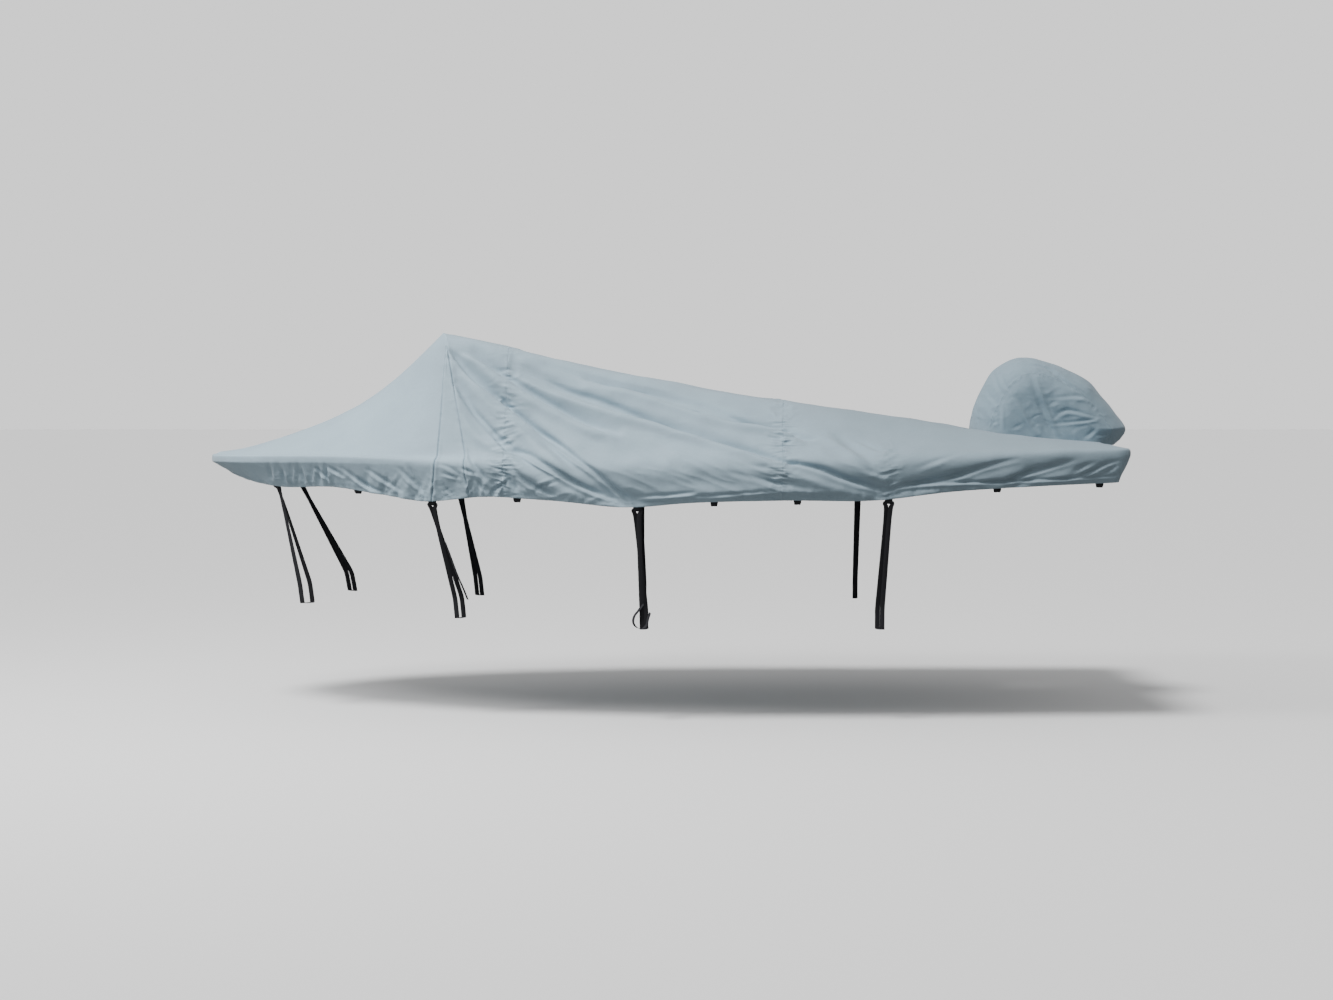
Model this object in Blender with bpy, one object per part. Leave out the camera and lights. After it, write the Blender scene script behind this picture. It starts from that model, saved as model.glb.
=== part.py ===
"""Trailerable boat cover: crosswise panels drawn over a windshield, hem loops,
tie-down straps and a matching motor hood. Metres, +Z up, bow towards -X, port towards -Y.
The origin lies under the cover's top, at the middle of the windshield."""

import math
from collections import namedtuple

import bmesh
import bpy
import numpy as np
from mathutils import Matrix, Vector
from mathutils.bvhtree import BVHTree

# ---------------------------------------------------------------- driving dimensions

PEAK_RISE = 0.685  # windshield top above the gunwale
SHEET = 0.0025  # cloth thickness
SEAM_GAP = 0.0005  # between two panels
SEAM_CORNER = 0.2  # how far a seam turns before its corner counts as one
PORT = -1
STARBOARD = 1

# Gunwale outline in plan
STEM_X = -1.27
BEAM_X = 1.40
STERN_X = 3.53
HALF_BEAM = 1.03
STERN_HALF = 0.97
BOW_FULLNESS = 1.15  # 1 is an ellipse, more is sharper
CORNER_RADIUS = 0.10

# Windshield
SCREEN_HALF = 0.58
SCREEN_SWEEP = 0.06  # how far its ends lie aft of its middle

# Motor cut-out, which hugs the hood
HOOD_HALF = 0.24
HOOD_SEAT = 0.0008  # between the hood's sides and the cut-out's edge
NOTCH_X = 2.80
NOTCH_NOSE = 0.17
NOTCH_END = 0.05  # how far short of the transom the cut-out's edge turns down
NOTCH_HALF = HOOD_HALF + HOOD_SEAT

TRANSOM_TUCK = 0.085
TUCK_CURVE = 1.3  # the skirt falls straighter at first, then turns in
SHOULDER_SHARE = 0.70  # how far out a rib's shoulder lies
SHOULDER_SOFTNESS = 0.05

# Segments of a rib: centre to shoulder, shoulder to rim, over the rim, skirt
RIB_SEGMENTS = (3, 6, 2, 3)
CURVE_SAMPLES = 40  # points that a curve is worked out at before it is divided
OUTLINE_SAMPLES = 240
TURN_SAMPLES = 12

# ---------------------------------------------------------------- tables

# One row for each cross-section of the top: the ridge's height above the gunwale
# datum, the share of the half width that is flat, and how round the fall is.
Section = namedtuple("Section", "x ridge flat crown")
FORE_SECTIONS = (
    Section(x=-1.27, ridge=0.036, flat=0.00, crown=1.0),
    Section(x=-1.10, ridge=0.061, flat=0.00, crown=1.0),
    Section(x=-0.93, ridge=0.108, flat=0.00, crown=1.0),
    Section(x=-0.77, ridge=0.162, flat=0.05, crown=1.0),
    Section(x=-0.61, ridge=0.228, flat=0.10, crown=1.0),
    Section(x=-0.45, ridge=0.318, flat=0.18, crown=0.9),
    Section(x=-0.31, ridge=0.412, flat=0.30, crown=0.7),
    Section(x=-0.20, ridge=0.500, flat=0.42, crown=0.5),
    Section(x=-0.10, ridge=0.592, flat=0.56, crown=0.3),
    Section(x=0.00, ridge=0.685, flat=0.68, crown=0.1),
)
AFT_SECTIONS = (
    Section(x=0.00, ridge=0.685, flat=0.68, crown=0.1),
    Section(x=0.24, ridge=0.632, flat=0.64, crown=0.2),
    Section(x=0.57, ridge=0.548, flat=0.56, crown=0.3),
    Section(x=1.06, ridge=0.447, flat=0.48, crown=0.4),
    Section(x=1.54, ridge=0.360, flat=0.42, crown=0.5),
    Section(x=2.03, ridge=0.289, flat=0.40, crown=0.6),
    Section(x=2.52, ridge=0.219, flat=0.40, crown=0.6),
    Section(x=3.01, ridge=0.142, flat=0.45, crown=0.7),
    Section(x=3.53, ridge=0.098, flat=0.50, crown=0.8),
)

# One row for each station of the edge: the gunwale's sheer, how far in and up the
# cloth turns over it, and how far the hem hangs down and tucks in.
Edge = namedtuple("Edge", "x sheer rim_in rim_up hem tuck")
EDGES = (
    Edge(x=-1.27, sheer=-0.010, rim_in=0.040, rim_up=0.040, hem=-0.066, tuck=0.105),
    Edge(x=-1.08, sheer=-0.004, rim_in=0.045, rim_up=0.040, hem=-0.104, tuck=0.090),
    Edge(x=-0.88, sheer=0.002, rim_in=0.045, rim_up=0.040, hem=-0.127, tuck=0.075),
    Edge(x=-0.54, sheer=0.008, rim_in=0.045, rim_up=0.040, hem=-0.120, tuck=0.050),
    Edge(x=-0.25, sheer=0.005, rim_in=0.045, rim_up=0.040, hem=-0.155, tuck=0.040),
    Edge(x=0.00, sheer=0.000, rim_in=0.045, rim_up=0.040, hem=-0.184, tuck=0.035),
    Edge(x=0.20, sheer=0.000, rim_in=0.045, rim_up=0.040, hem=-0.160, tuck=0.035),
    Edge(x=0.60, sheer=0.000, rim_in=0.050, rim_up=0.040, hem=-0.172, tuck=0.035),
    Edge(x=1.05, sheer=0.000, rim_in=0.065, rim_up=0.045, hem=-0.205, tuck=0.040),
    Edge(x=1.30, sheer=0.002, rim_in=0.075, rim_up=0.050, hem=-0.185, tuck=0.035),
    Edge(x=1.80, sheer=0.005, rim_in=0.085, rim_up=0.050, hem=-0.171, tuck=0.035),
    Edge(x=2.31, sheer=0.015, rim_in=0.080, rim_up=0.050, hem=-0.167, tuck=0.035),
    Edge(x=2.58, sheer=0.025, rim_in=0.075, rim_up=0.045, hem=-0.133, tuck=0.030),
    Edge(x=3.07, sheer=0.045, rim_in=0.060, rim_up=0.040, hem=-0.100, tuck=0.030),
    Edge(x=3.53, sheer=0.058, rim_in=0.050, rim_up=0.038, hem=-0.080, tuck=0.030),
)

# One row for each crease that a pull on the cloth makes: its size, and its path in side
# view, as (x, height above the datum). crest is the ridge beside the trough.
Fold = namedtuple("Fold", "side width depth crest path")
FOLDS = (
    Fold(PORT, 0.040, 0.020, 0.5, ((0.12, 0.55), (0.25, 0.43), (0.49, 0.23), (0.69, 0.05), (1.02, -0.18))),
    Fold(PORT, 0.035, 0.016, 0.5, ((0.12, 0.47), (0.25, 0.21), (0.41, 0.10), (0.56, -0.01), (0.97, -0.17))),
    Fold(PORT, 0.040, 0.016, 0.5, ((0.22, 0.58), (0.41, 0.44), (0.60, 0.33), (0.81, 0.22), (0.94, 0.18))),
    Fold(PORT, 0.045, 0.022, 0.6, ((0.41, 0.50), (0.72, 0.37), (1.19, 0.22), (1.78, 0.04), (2.31, -0.12))),
    Fold(PORT, 0.045, 0.014, 0.5, ((0.81, 0.44), (1.09, 0.37), (1.50, 0.24), (1.78, 0.19), (1.91, 0.14))),
    Fold(PORT, 0.040, 0.012, 0.5, ((2.08, 0.15), (2.20, 0.06), (2.31, -0.03))),
    Fold(PORT, 0.035, 0.016, 0.5, ((2.35, -0.12), (2.47, -0.09), (2.70, -0.04), (2.96, 0.02))),
    Fold(PORT, 0.030, 0.010, 0.5, ((2.94, -0.09), (3.05, -0.04), (3.22, 0.01))),
    Fold(STARBOARD, 0.040, 0.018, 0.5, ((0.13, 0.53), (0.30, 0.38), (0.52, 0.20), (1.00, -0.17))),
    Fold(STARBOARD, 0.040, 0.016, 0.5, ((0.24, 0.57), (0.50, 0.38), (0.78, 0.26), (1.02, 0.18))),
    Fold(STARBOARD, 0.045, 0.020, 0.6, ((0.46, 0.50), (0.84, 0.33), (1.40, 0.16), (2.29, -0.12))),
    Fold(STARBOARD, 0.045, 0.014, 0.5, ((0.95, 0.40), (1.38, 0.28), (1.72, 0.20), (2.02, 0.12))),
    Fold(STARBOARD, 0.035, 0.014, 0.5, ((2.34, -0.12), (2.58, -0.05), (2.88, 0.03))),
)
FOLD_STEPS = 40
CREST_PLACE = 1.8  # where a fold's ridge lies, in widths from its trough
CREST_WIDTH = 0.9

# Hem loops: where along the boat each hangs, on both sides
LOOP_STATIONS = (-0.87, -0.40, 0.00, 0.44, 1.05, 1.44, 1.86, 2.32, 2.87, 3.39)
LOOP_WIDTH = 0.038
LOOP_DROP = 0.028  # how far it hangs below the hem
LOOP_OVERLAP = 0.016  # how far it reaches up behind the hem
LOOP_DEPTH = 0.020
LOOP_GAP = 0.0005  # between the loop and the cloth that it is sewn behind
LOOP_CORNER = 0.004
WEBBING = 0.002
HEM_SEARCH = 0.03  # how far above the hem's own height the finished hem is looked for
HEM_STEP = 0.0005
OUTBOARD = 3.0  # well outside the cover

# One row for each tie-down: the loop it hangs from, where it meets the rail's outer
# and inner faces, and where that rail's outer top edge lies
Tie = namedtuple("Tie", "name side loop outer_x inner_x rail_half rail_top")
TIES = (
    Tie("bow", PORT, loop=0, outer_x=-0.745, inner_x=-0.700, rail_half=0.36, rail_top=-0.647),
    Tie("screen", PORT, loop=2, outer_x=0.105, inner_x=0.135, rail_half=0.66, rail_top=-0.696),
    Tie("middle", PORT, loop=4, outer_x=1.074, inner_x=1.094, rail_half=0.86, rail_top=-0.734),
    Tie("aft", PORT, loop=7, outer_x=2.300, inner_x=2.280, rail_half=0.86, rail_top=-0.734),
    Tie("bow", STARBOARD, loop=0, outer_x=-0.600, inner_x=-0.562, rail_half=0.40, rail_top=-0.647),
    Tie("screen", STARBOARD, loop=2, outer_x=0.105, inner_x=0.138, rail_half=0.65, rail_top=-0.696),
    Tie("middle", STARBOARD, loop=4, outer_x=1.060, inner_x=1.072, rail_half=0.86, rail_top=-0.734),
    Tie("aft", STARBOARD, loop=7, outer_x=2.300, inner_x=2.290, rail_half=0.86, rail_top=-0.734),
)
RAIL_WIDTH = 0.050
RAIL_HEIGHT = 0.100
RAIL_CLEAR = 0.004  # between the rail's face and the strap's middle
STRAP_WIDTH = 0.025
BUNCH_WIDTH = 0.014  # a strap drawn together where it passes through its loop
BUNCH_DEPTH = 0.004
STRAP_SEAT = 0.0006  # between the strap and the bottom of its loop

# One row for each section of a strand as it leaves its loop and spreads out flat: how
# far aft, down and out of the loop's middle, how far on towards the rail, its size,
# and how far its width has turned from upright
Spread = namedtuple("Spread", "aft down out ahead width depth turned")
SPREADS = (
    Spread(aft=0.000, down=0.000, out=0.000, ahead=0.000, width=BUNCH_WIDTH, depth=BUNCH_DEPTH, turned=0),
    Spread(aft=0.022, down=0.000, out=0.000, ahead=0.000, width=BUNCH_WIDTH, depth=BUNCH_DEPTH, turned=0),
    Spread(aft=0.031, down=0.008, out=0.001, ahead=0.000, width=BUNCH_WIDTH, depth=BUNCH_DEPTH, turned=45),
    Spread(aft=0.032, down=0.022, out=0.003, ahead=0.000, width=0.016, depth=0.003, turned=90),
    Spread(aft=0.016, down=0.022, out=0.006, ahead=0.028, width=0.018, depth=WEBBING, turned=90),
    Spread(aft=0.012, down=0.022, out=0.006, ahead=0.078, width=0.021, depth=WEBBING, turned=90),
    Spread(aft=0.006, down=0.022, out=0.006, ahead=0.148, width=STRAP_WIDTH, depth=WEBBING, turned=90),
)

# Motor hood: its profile along the centreline, from the front hem over the top, and
# beside each place the seam where the side panels begin
Corner = namedtuple("Corner", "x height seam_x seam_height")
HOOD_PROFILE = (
    Corner(2.838, 0.010, 2.915, 0.014),
    Corner(2.842, 0.120, 2.925, 0.120),
    Corner(2.862, 0.250, 2.948, 0.232),
    Corner(2.895, 0.345, 2.982, 0.305),
    Corner(2.948, 0.442, 3.020, 0.378),
    Corner(3.010, 0.508, 3.062, 0.428),
    Corner(3.095, 0.548, 3.118, 0.458),
    Corner(3.187, 0.550, 3.185, 0.464),
    Corner(3.285, 0.523, 3.252, 0.446),
    Corner(3.375, 0.482, 3.330, 0.412),
    Corner(3.455, 0.445, 3.400, 0.374),
    Corner(3.519, 0.395, 3.452, 0.330),
    Corner(3.600, 0.295, 3.515, 0.255),
    Corner(3.672, 0.205, 3.568, 0.190),
    Corner(3.690, 0.160, 3.582, 0.150),
    Corner(3.668, 0.115, 3.575, 0.112),
    Corner(3.628, 0.083, 3.556, 0.078),
)
HOOD_ROUND = 0.150  # how far in the hood reaches its full width
HOOD_COLUMNS = 18
HOOD_ROWS = 6
HOOD_CROWN_ROWS = 6

# ---------------------------------------------------------------- curves


def follow(rows, column, x):
    """A column's value at x, on a smooth curve through the rows."""
    xs = np.array([row.x for row in rows])
    ys = np.array([getattr(row, column) for row in rows])
    slopes = np.gradient(ys, xs)
    x = np.clip(x, xs[0], xs[-1])
    i = np.clip(np.searchsorted(xs, x) - 1, 0, len(xs) - 2)
    step = xs[i + 1] - xs[i]
    t = (x - xs[i]) / step
    start = (1 + 2 * t) * (1 - t) ** 2 * ys[i] + t * (1 - t) ** 2 * step * slopes[i]
    end = t * t * (3 - 2 * t) * ys[i + 1] + t * t * (t - 1) * step * slopes[i + 1]
    return start + end


def lengths(points):
    """Distance along a polyline at each of its points."""
    steps = np.linalg.norm(np.diff(points, axis=0), axis=1)
    return np.concatenate([[0.0], np.cumsum(steps)])


def along(points, distance):
    """Points at given distances along a polyline."""
    run = lengths(points)
    return np.stack([np.interp(distance, run, axis) for axis in points.T], axis=-1)


def resample(points, count):
    return along(points, np.linspace(0, lengths(points)[-1], count))


def smooth_path(points, count):
    """A Catmull-Rom curve through the points, at count places."""
    points = np.array(points, float)
    slopes = np.gradient(points, axis=0)
    at = np.linspace(0, len(points) - 1, count)
    i = np.minimum(at.astype(int), len(points) - 2)
    t = (at - i)[:, None]
    start = (1 + 2 * t) * (1 - t) ** 2 * points[i] + t * (1 - t) ** 2 * slopes[i]
    end = t * t * (3 - 2 * t) * points[i + 1] + t * t * (t - 1) * slopes[i + 1]
    return start + end


def unit(v):
    return v / np.linalg.norm(v, axis=-1, keepdims=True)


# ---------------------------------------------------------------- the boat's outline


def gunwale_outline():
    """Plan points of one side's gunwale, from the stem round the corner to the motor."""
    angle = np.linspace(0, math.pi / 2, OUTLINE_SAMPLES)
    bow = np.stack(
        [
            BEAM_X - (BEAM_X - STEM_X) * np.cos(angle),
            HALF_BEAM * np.sin(angle) ** BOW_FULLNESS,
        ],
        axis=1,
    )
    x = np.linspace(BEAM_X, STERN_X - CORNER_RADIUS, OUTLINE_SAMPLES)[1:]
    taper = ((x - BEAM_X) / (STERN_X - BEAM_X)) ** 2
    side = np.stack([x, HALF_BEAM - (HALF_BEAM - STERN_HALF) * taper], axis=1)
    turn = np.linspace(0, math.pi / 2, CURVE_SAMPLES)[1:]
    corner = side[-1] + CORNER_RADIUS * np.stack([np.sin(turn), np.cos(turn) - 1], axis=1)
    y = np.linspace(corner[-1, 1], NOTCH_HALF, CURVE_SAMPLES)[1:]
    transom = np.stack([np.full_like(y, STERN_X), y], axis=1)
    return np.concatenate([bow, side, corner, transom]), len(bow) + len(side)


OUTLINE, SIDE_COUNT = gunwale_outline()
RUN = lengths(OUTLINE)
FORWARD = unit(np.gradient(OUTLINE, axis=0))
OUTWARD = np.stack([-FORWARD[:, 1], FORWARD[:, 0]], axis=1)
OUTWARD[0] = (-1.0, 0.0)
CORNER_START = RUN[SIDE_COUNT - 1]
CORNER_END = CORNER_START + CORNER_RADIUS * math.pi / 2


def station(x):
    """Distance along the outline at which a side's gunwale reaches x."""
    return np.interp(x, OUTLINE[:SIDE_COUNT, 0], RUN[:SIDE_COUNT])


def outline_at(distance):
    """Plan point on the gunwale and its outward direction."""
    point = np.array([np.interp(distance, RUN, OUTLINE[:, k]) for k in (0, 1)])
    outward = unit(np.array([np.interp(distance, RUN, OUTWARD[:, k]) for k in (0, 1)]))
    return point, outward


def inner_half(x):
    """Half width of the top at x, inside the turned rim."""
    rim = follow(EDGES, "rim_in", OUTLINE[:SIDE_COUNT, 0])[:, None]
    inset = OUTLINE[:SIDE_COUNT] - rim * OUTWARD[:SIDE_COUNT]
    return np.maximum(np.interp(x, inset[:, 0], inset[:, 1]), 0.02)


def notch_edge():
    """Plan points of the motor cut-out's edge, from the centreline to the transom."""
    turn = np.linspace(0, math.pi / 2, CURVE_SAMPLES)
    nose = np.stack(
        [NOTCH_X + NOTCH_NOSE * (1 - np.cos(turn)), NOTCH_HALF * np.sin(turn)], axis=1
    )
    x = np.linspace(NOTCH_X + NOTCH_NOSE, STERN_X - NOTCH_END, CURVE_SAMPLES)[1:]
    return np.concatenate([nose, np.stack([x, np.full_like(x, NOTCH_HALF)], axis=1)])


NOTCH = notch_edge()


def inner_at(distance):
    """Plan point on the centreline or, past its start, on the motor cut-out's edge."""
    if distance <= NOTCH_X:
        return np.array([distance, 0.0])
    return along(NOTCH, distance - NOTCH_X)


# ---------------------------------------------------------------- the drawn cloth


def top_height(x, y):
    """Height of the cloth's top above the gunwale datum."""
    across = np.minimum(1, (np.abs(y) / SCREEN_HALF) ** 2)
    at = x - SCREEN_SWEEP * across
    fore = at < 0
    ridge, flat, crown = (
        np.where(fore, follow(FORE_SECTIONS, name, at), follow(AFT_SECTIONS, name, at))
        for name in ("ridge", "flat", "crown")
    )
    edge = follow(EDGES, "sheer", x) + follow(EDGES, "rim_up", x)
    share = np.clip(np.abs(y) / inner_half(x), 0, 1)
    past = share - flat + np.hypot(share - flat, SHOULDER_SOFTNESS)
    last = 1 - flat + np.hypot(1 - flat, SHOULDER_SOFTNESS)
    fall = past / last
    shape = (1 - crown) * (1 - fall) + crown * np.cos(fall * math.pi / 2)
    return edge + (ridge - edge) * shape


def rim_point(distance):
    """Plan point where the turned rim begins, inboard of a place on the gunwale."""
    point, outward = outline_at(distance)
    return point - follow(EDGES, "rim_in", point[0]) * outward


def rib(inner, shoulder, distance, slant):
    """The cloth's line from an inner plan point over the gunwale to the hem, as four
    stretches: to the shoulder, to the rim, over the rim and down the skirt."""
    point, outward = outline_at(distance)
    sheer, rim_in, rim_up, hem, tuck = (
        follow(EDGES, name, point[0]) for name in ("sheer", "rim_in", "rim_up", "hem", "tuck")
    )
    tuck = tuck + (TRANSOM_TUCK - tuck) * max(0.0, outward[0]) ** 2

    def over_top(start, end):
        plan = start + np.linspace(0, 1, CURVE_SAMPLES)[:, None] * (end - start)
        return np.column_stack([plan, top_height(plan[:, 0], plan[:, 1])])

    turn = np.linspace(0, math.pi / 2, TURN_SAMPLES)[:, None]
    over = point - rim_in * (1 - np.sin(turn)) * outward
    over = np.column_stack([over, sheer + rim_up * np.cos(turn)])
    down = np.linspace(0, 1, TURN_SAMPLES)[:, None]
    skirt = point - tuck * down**TUCK_CURVE * outward + slant * down * np.array([1.0, 0.0])
    skirt = np.column_stack([skirt, sheer + (hem - sheer) * down])
    return over_top(inner, shoulder), over_top(shoulder, rim_point(distance)), over, skirt


# A rib is given by its inner place, its shoulder's plan point, its place along the
# gunwale and its skirt's slant.
Rib = namedtuple("Rib", "inner shoulder_x shoulder_y gunwale slant")


def plain_rib(inner, gunwale, slant=0.0):
    """A rib that is straight in plan."""
    start = inner_at(inner)
    shoulder = start + SHOULDER_SHARE * (rim_point(gunwale) - start)
    return Rib(inner, *shoulder, gunwale, slant)


def screen_rib(gunwale, slant):
    """A rib along the windshield's top and down from its corner."""
    return Rib(0.0, SCREEN_SWEEP, SCREEN_HALF, gunwale, slant)


RIBS = {
    "stem": plain_rib(-1.03, 0.0),
    "foredeck": plain_rib(-0.55, station(-0.62)),
    "fore screen seam": screen_rib(station(0.02), slant=-0.027),
    "aft screen seam": screen_rib(station(0.17), slant=0.021),
    "fore cross seam": plain_rib(0.385, station(0.37), slant=-0.007),
    "aft cross seam": plain_rib(1.84, station(1.79), slant=-0.020),
    "cut-out nose": plain_rib(NOTCH_X, station(2.86)),
    "cut-out side": plain_rib(NOTCH_X + 0.32, station(3.12)),
    "before corner": plain_rib(NOTCH_X + 0.60, CORNER_START),
    "after corner": plain_rib(NOTCH_X + 0.70, CORNER_END),
    "cut-out end": plain_rib(NOTCH_X + lengths(NOTCH)[-1], RUN[-1]),
}

# One row for each stretch of cloth between two ribs
Stretch = namedtuple("Stretch", "panel start end columns first_row")
SHOULDER_ROW = RIB_SEGMENTS[0]
STRETCHES = (
    Stretch("bow_panel", "stem", "foredeck", 7, 0),
    Stretch("bow_panel", "foredeck", "fore screen seam", 7, 0),
    Stretch("screen_gusset", "fore screen seam", "aft screen seam", 2, SHOULDER_ROW),
    Stretch("screen_panel", "aft screen seam", "fore cross seam", 4, 0),
    Stretch("middle_panel", "fore cross seam", "aft cross seam", 18, 0),
    Stretch("stern_panel", "aft cross seam", "cut-out nose", 10, 0),
    Stretch("stern_panel", "cut-out nose", "cut-out side", 5, 0),
    Stretch("stern_panel", "cut-out side", "before corner", 3, 0),
    Stretch("stern_panel", "before corner", "after corner", 3, 0),
    Stretch("stern_panel", "after corner", "cut-out end", 5, 0),
)


def rib_points(at):
    """A rib's mesh points, with its turns always at the same places in the list."""
    shoulder = np.array([at.shoulder_x, at.shoulder_y])
    parts = rib(inner_at(at.inner), shoulder, at.gunwale, at.slant)
    rows = [resample(part, n + 1) for part, n in zip(parts, RIB_SEGMENTS)]
    return np.concatenate([rows[0]] + [row[1:] for row in rows[1:]])


def stretch_points(stretch):
    """Grid of points, one row for each rib from the first to the last."""
    first = np.array(RIBS[stretch.start])
    last = np.array(RIBS[stretch.end])
    shares = np.linspace(0, 1, stretch.columns + 1)
    grid = [rib_points(Rib(*(first + share * (last - first)))) for share in shares]
    return np.array(grid)[:, stretch.first_row :]


def on_cloth(x, height, side):
    """The point of one side's cloth that a side view shows at x and this height."""
    inner = np.array([x, 0.0 if x < NOTCH_X else NOTCH_HALF])
    shoulder = inner + SHOULDER_SHARE * (rim_point(station(x)) - inner)
    line = np.concatenate(rib(inner, shoulder, station(x), 0.0))
    y = np.interp(-height, -line[:, 2], line[:, 1])
    return np.array([x, side * y, height])


def fold_offsets(points, normals):
    """How far each fold moves each point along its normal."""
    total = np.zeros(len(points))
    for fold in FOLDS:
        path = smooth_path(fold.path, FOLD_STEPS)
        line = np.array([on_cloth(x, height, fold.side) for x, height in path])
        tangent = unit(np.gradient(line, axis=0))
        reach = points[:, None] - line[None]
        distance = np.linalg.norm(reach, axis=2)
        nearest = distance.argmin(axis=1)
        rows = np.arange(len(points))
        across = np.cross(normals, tangent[nearest])
        signed = fold.side * np.einsum("ij,ij->i", reach[rows, nearest], across)
        off = distance[rows, nearest] / fold.width
        share = nearest / (FOLD_STEPS - 1)
        taper = np.sqrt(np.clip(np.sin(math.pi * (0.06 + 0.88 * share)), 0, 1))
        beside = (signed / fold.width - CREST_PLACE) / CREST_WIDTH
        end_fade = np.exp(-np.maximum(0, off - np.abs(signed / fold.width)) ** 2)
        trough = -np.exp(-(off**2))
        crest = fold.crest * np.exp(-(beside**2)) * end_fade
        total += fold.depth * taper * (trough + crest)
    return total


# ---------------------------------------------------------------- solids

LIFT = Vector((0.0, 0.0, -PEAK_RISE + SHEET))
SPLIT_ORDER = Vector((0.37, 0.11, 1.0))  # ranks the corners of a rim's faces


def material(name, colour, roughness):
    made = bpy.data.materials.new(name)
    made.use_nodes = True
    shader = made.node_tree.nodes["Principled BSDF"]
    shader.inputs["Base Color"].default_value = (*colour, 1.0)
    shader.inputs["Roughness"].default_value = roughness
    shader.inputs["Metallic"].default_value = 0.0
    return made


def add_node(name, bm, colour, roughness):
    """Makes the finished mesh an object of its own, moved to the row's origin."""
    bmesh.ops.triangulate(bm, faces=bm.faces)
    bmesh.ops.recalc_face_normals(bm, faces=bm.faces)
    if bm.calc_volume(signed=True) < 0:
        bmesh.ops.reverse_faces(bm, faces=bm.faces)
    bmesh.ops.translate(bm, verts=bm.verts, vec=LIFT)
    mesh = bpy.data.meshes.new(name)
    bm.to_mesh(mesh)
    bm.free()
    mesh.materials.append(material(name, colour, roughness))
    node = bpy.data.objects.new(name, mesh)
    bpy.context.scene.collection.objects.link(node)
    return node


def add_grid(bm, points, tag, flip):
    """A grid of faces laid on the points, each face tagged with its panel's number."""
    columns, rows = points.shape[0] - 1, points.shape[1] - 1
    made = bmesh.ops.create_grid(bm, x_segments=columns, y_segments=rows, size=0.5)
    for vert in made["verts"]:
        i = round((vert.co.x + 0.5) * columns)
        j = round((vert.co.y + 0.5) * rows)
        vert.co = points[i, j]
    faces = list({face for vert in made["verts"] for face in vert.link_faces})
    for face in faces:
        face.material_index = tag
    if flip:
        bmesh.ops.reverse_faces(bm, faces=faces)


def fold_cloth(bm):
    """Presses the folds into the outer face of the cloth."""
    bm.normal_update()
    points = np.array([vert.co for vert in bm.verts])
    normals = np.array([vert.normal for vert in bm.verts])
    moved = points + normals * fold_offsets(points, normals)[:, None]
    for vert, place in zip(bm.verts, moved):
        vert.co = place
    bm.normal_update()


def thicken(bm, inwards):
    """Turns an open sheet into a closed one, given each point's inward step. The faces
    along the rims are split the same way on both sides of a seam, so they stay clear."""
    outer = set(bm.verts)
    made = bmesh.ops.extrude_face_region(bm, geom=list(bm.faces), use_keep_orig=True)
    for vert in made["geom"]:
        if isinstance(vert, bmesh.types.BMVert):
            vert.co = vert.co + inwards[vert.co.to_tuple(7)]
    rims = [face for face in bm.faces if len(outer.intersection(face.verts)) == 2]
    for face in rims:
        corners = sorted(outer.intersection(face.verts), key=lambda v: v.co.dot(SPLIT_ORDER))
        first = corners[1]
        across = [v for v in face.verts if v not in outer and not shares_edge(v, first)]
        if len(face.verts) == 4 and across:
            bmesh.utils.face_split(face, first, across[0])


def shares_edge(a, b):
    return any(edge.other_vert(a) is b for edge in a.link_edges)


def seam_step(vert, tag):
    """The small step, in the cloth, that draws a panel's point back from its seams."""

    def in_cloth(direction):
        return (direction - direction.dot(vert.normal) * vert.normal).normalized()

    own = [face for face in vert.link_faces if face.material_index == tag]
    centre = sum((face.calc_center_median() for face in own), Vector()) / len(own)
    inward = in_cloth(centre - vert.co)
    lines = []
    for edge in vert.link_edges:
        tags = {face.material_index for face in edge.link_faces}
        if tag in tags and len(tags) > 1:
            lines.append(in_cloth(edge.other_vert(vert).co - vert.co))
    if len(lines) == 2 and (lines[0] + lines[1]).length > SEAM_CORNER:
        middle = (lines[0] + lines[1]).normalized()
        lean = middle.cross(lines[0]).length
        return middle * math.copysign(SEAM_GAP / 2 / lean, middle.dot(inward))
    line = lines[0] if len(lines) == 1 else (lines[0] - lines[1]).normalized()
    return (inward - inward.dot(line) * line).normalized() * SEAM_GAP / 2


def cut_panel(skin, tag):
    """One panel of the cover's skin, drawn back a little from its seams and thickened."""
    bm = skin.copy()
    normals = [vert.normal.copy() for vert in bm.verts]
    steps = {}
    for vert in bm.verts:
        tags = {face.material_index for face in vert.link_faces}
        if tag in tags and len(tags) > 1:
            steps[vert] = seam_step(vert, tag)
    for vert, step in steps.items():
        vert.co += step
    inwards = {vert.co.to_tuple(7): -SHEET * normals[vert.index] for vert in bm.verts}
    others = [face for face in bm.faces if face.material_index != tag]
    bmesh.ops.delete(bm, geom=others, context="FACES")
    thicken(bm, inwards)
    for face in bm.faces:
        face.material_index = 0
        face.smooth = True
    return bm


CLOTH = (0.33, 0.41, 0.45)
DARK_CLOTH = (0.28, 0.36, 0.41)
BLACK = (0.012, 0.013, 0.015)
CLOTH_ROUGHNESS = 0.85
WEBBING_ROUGHNESS = 0.7


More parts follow.
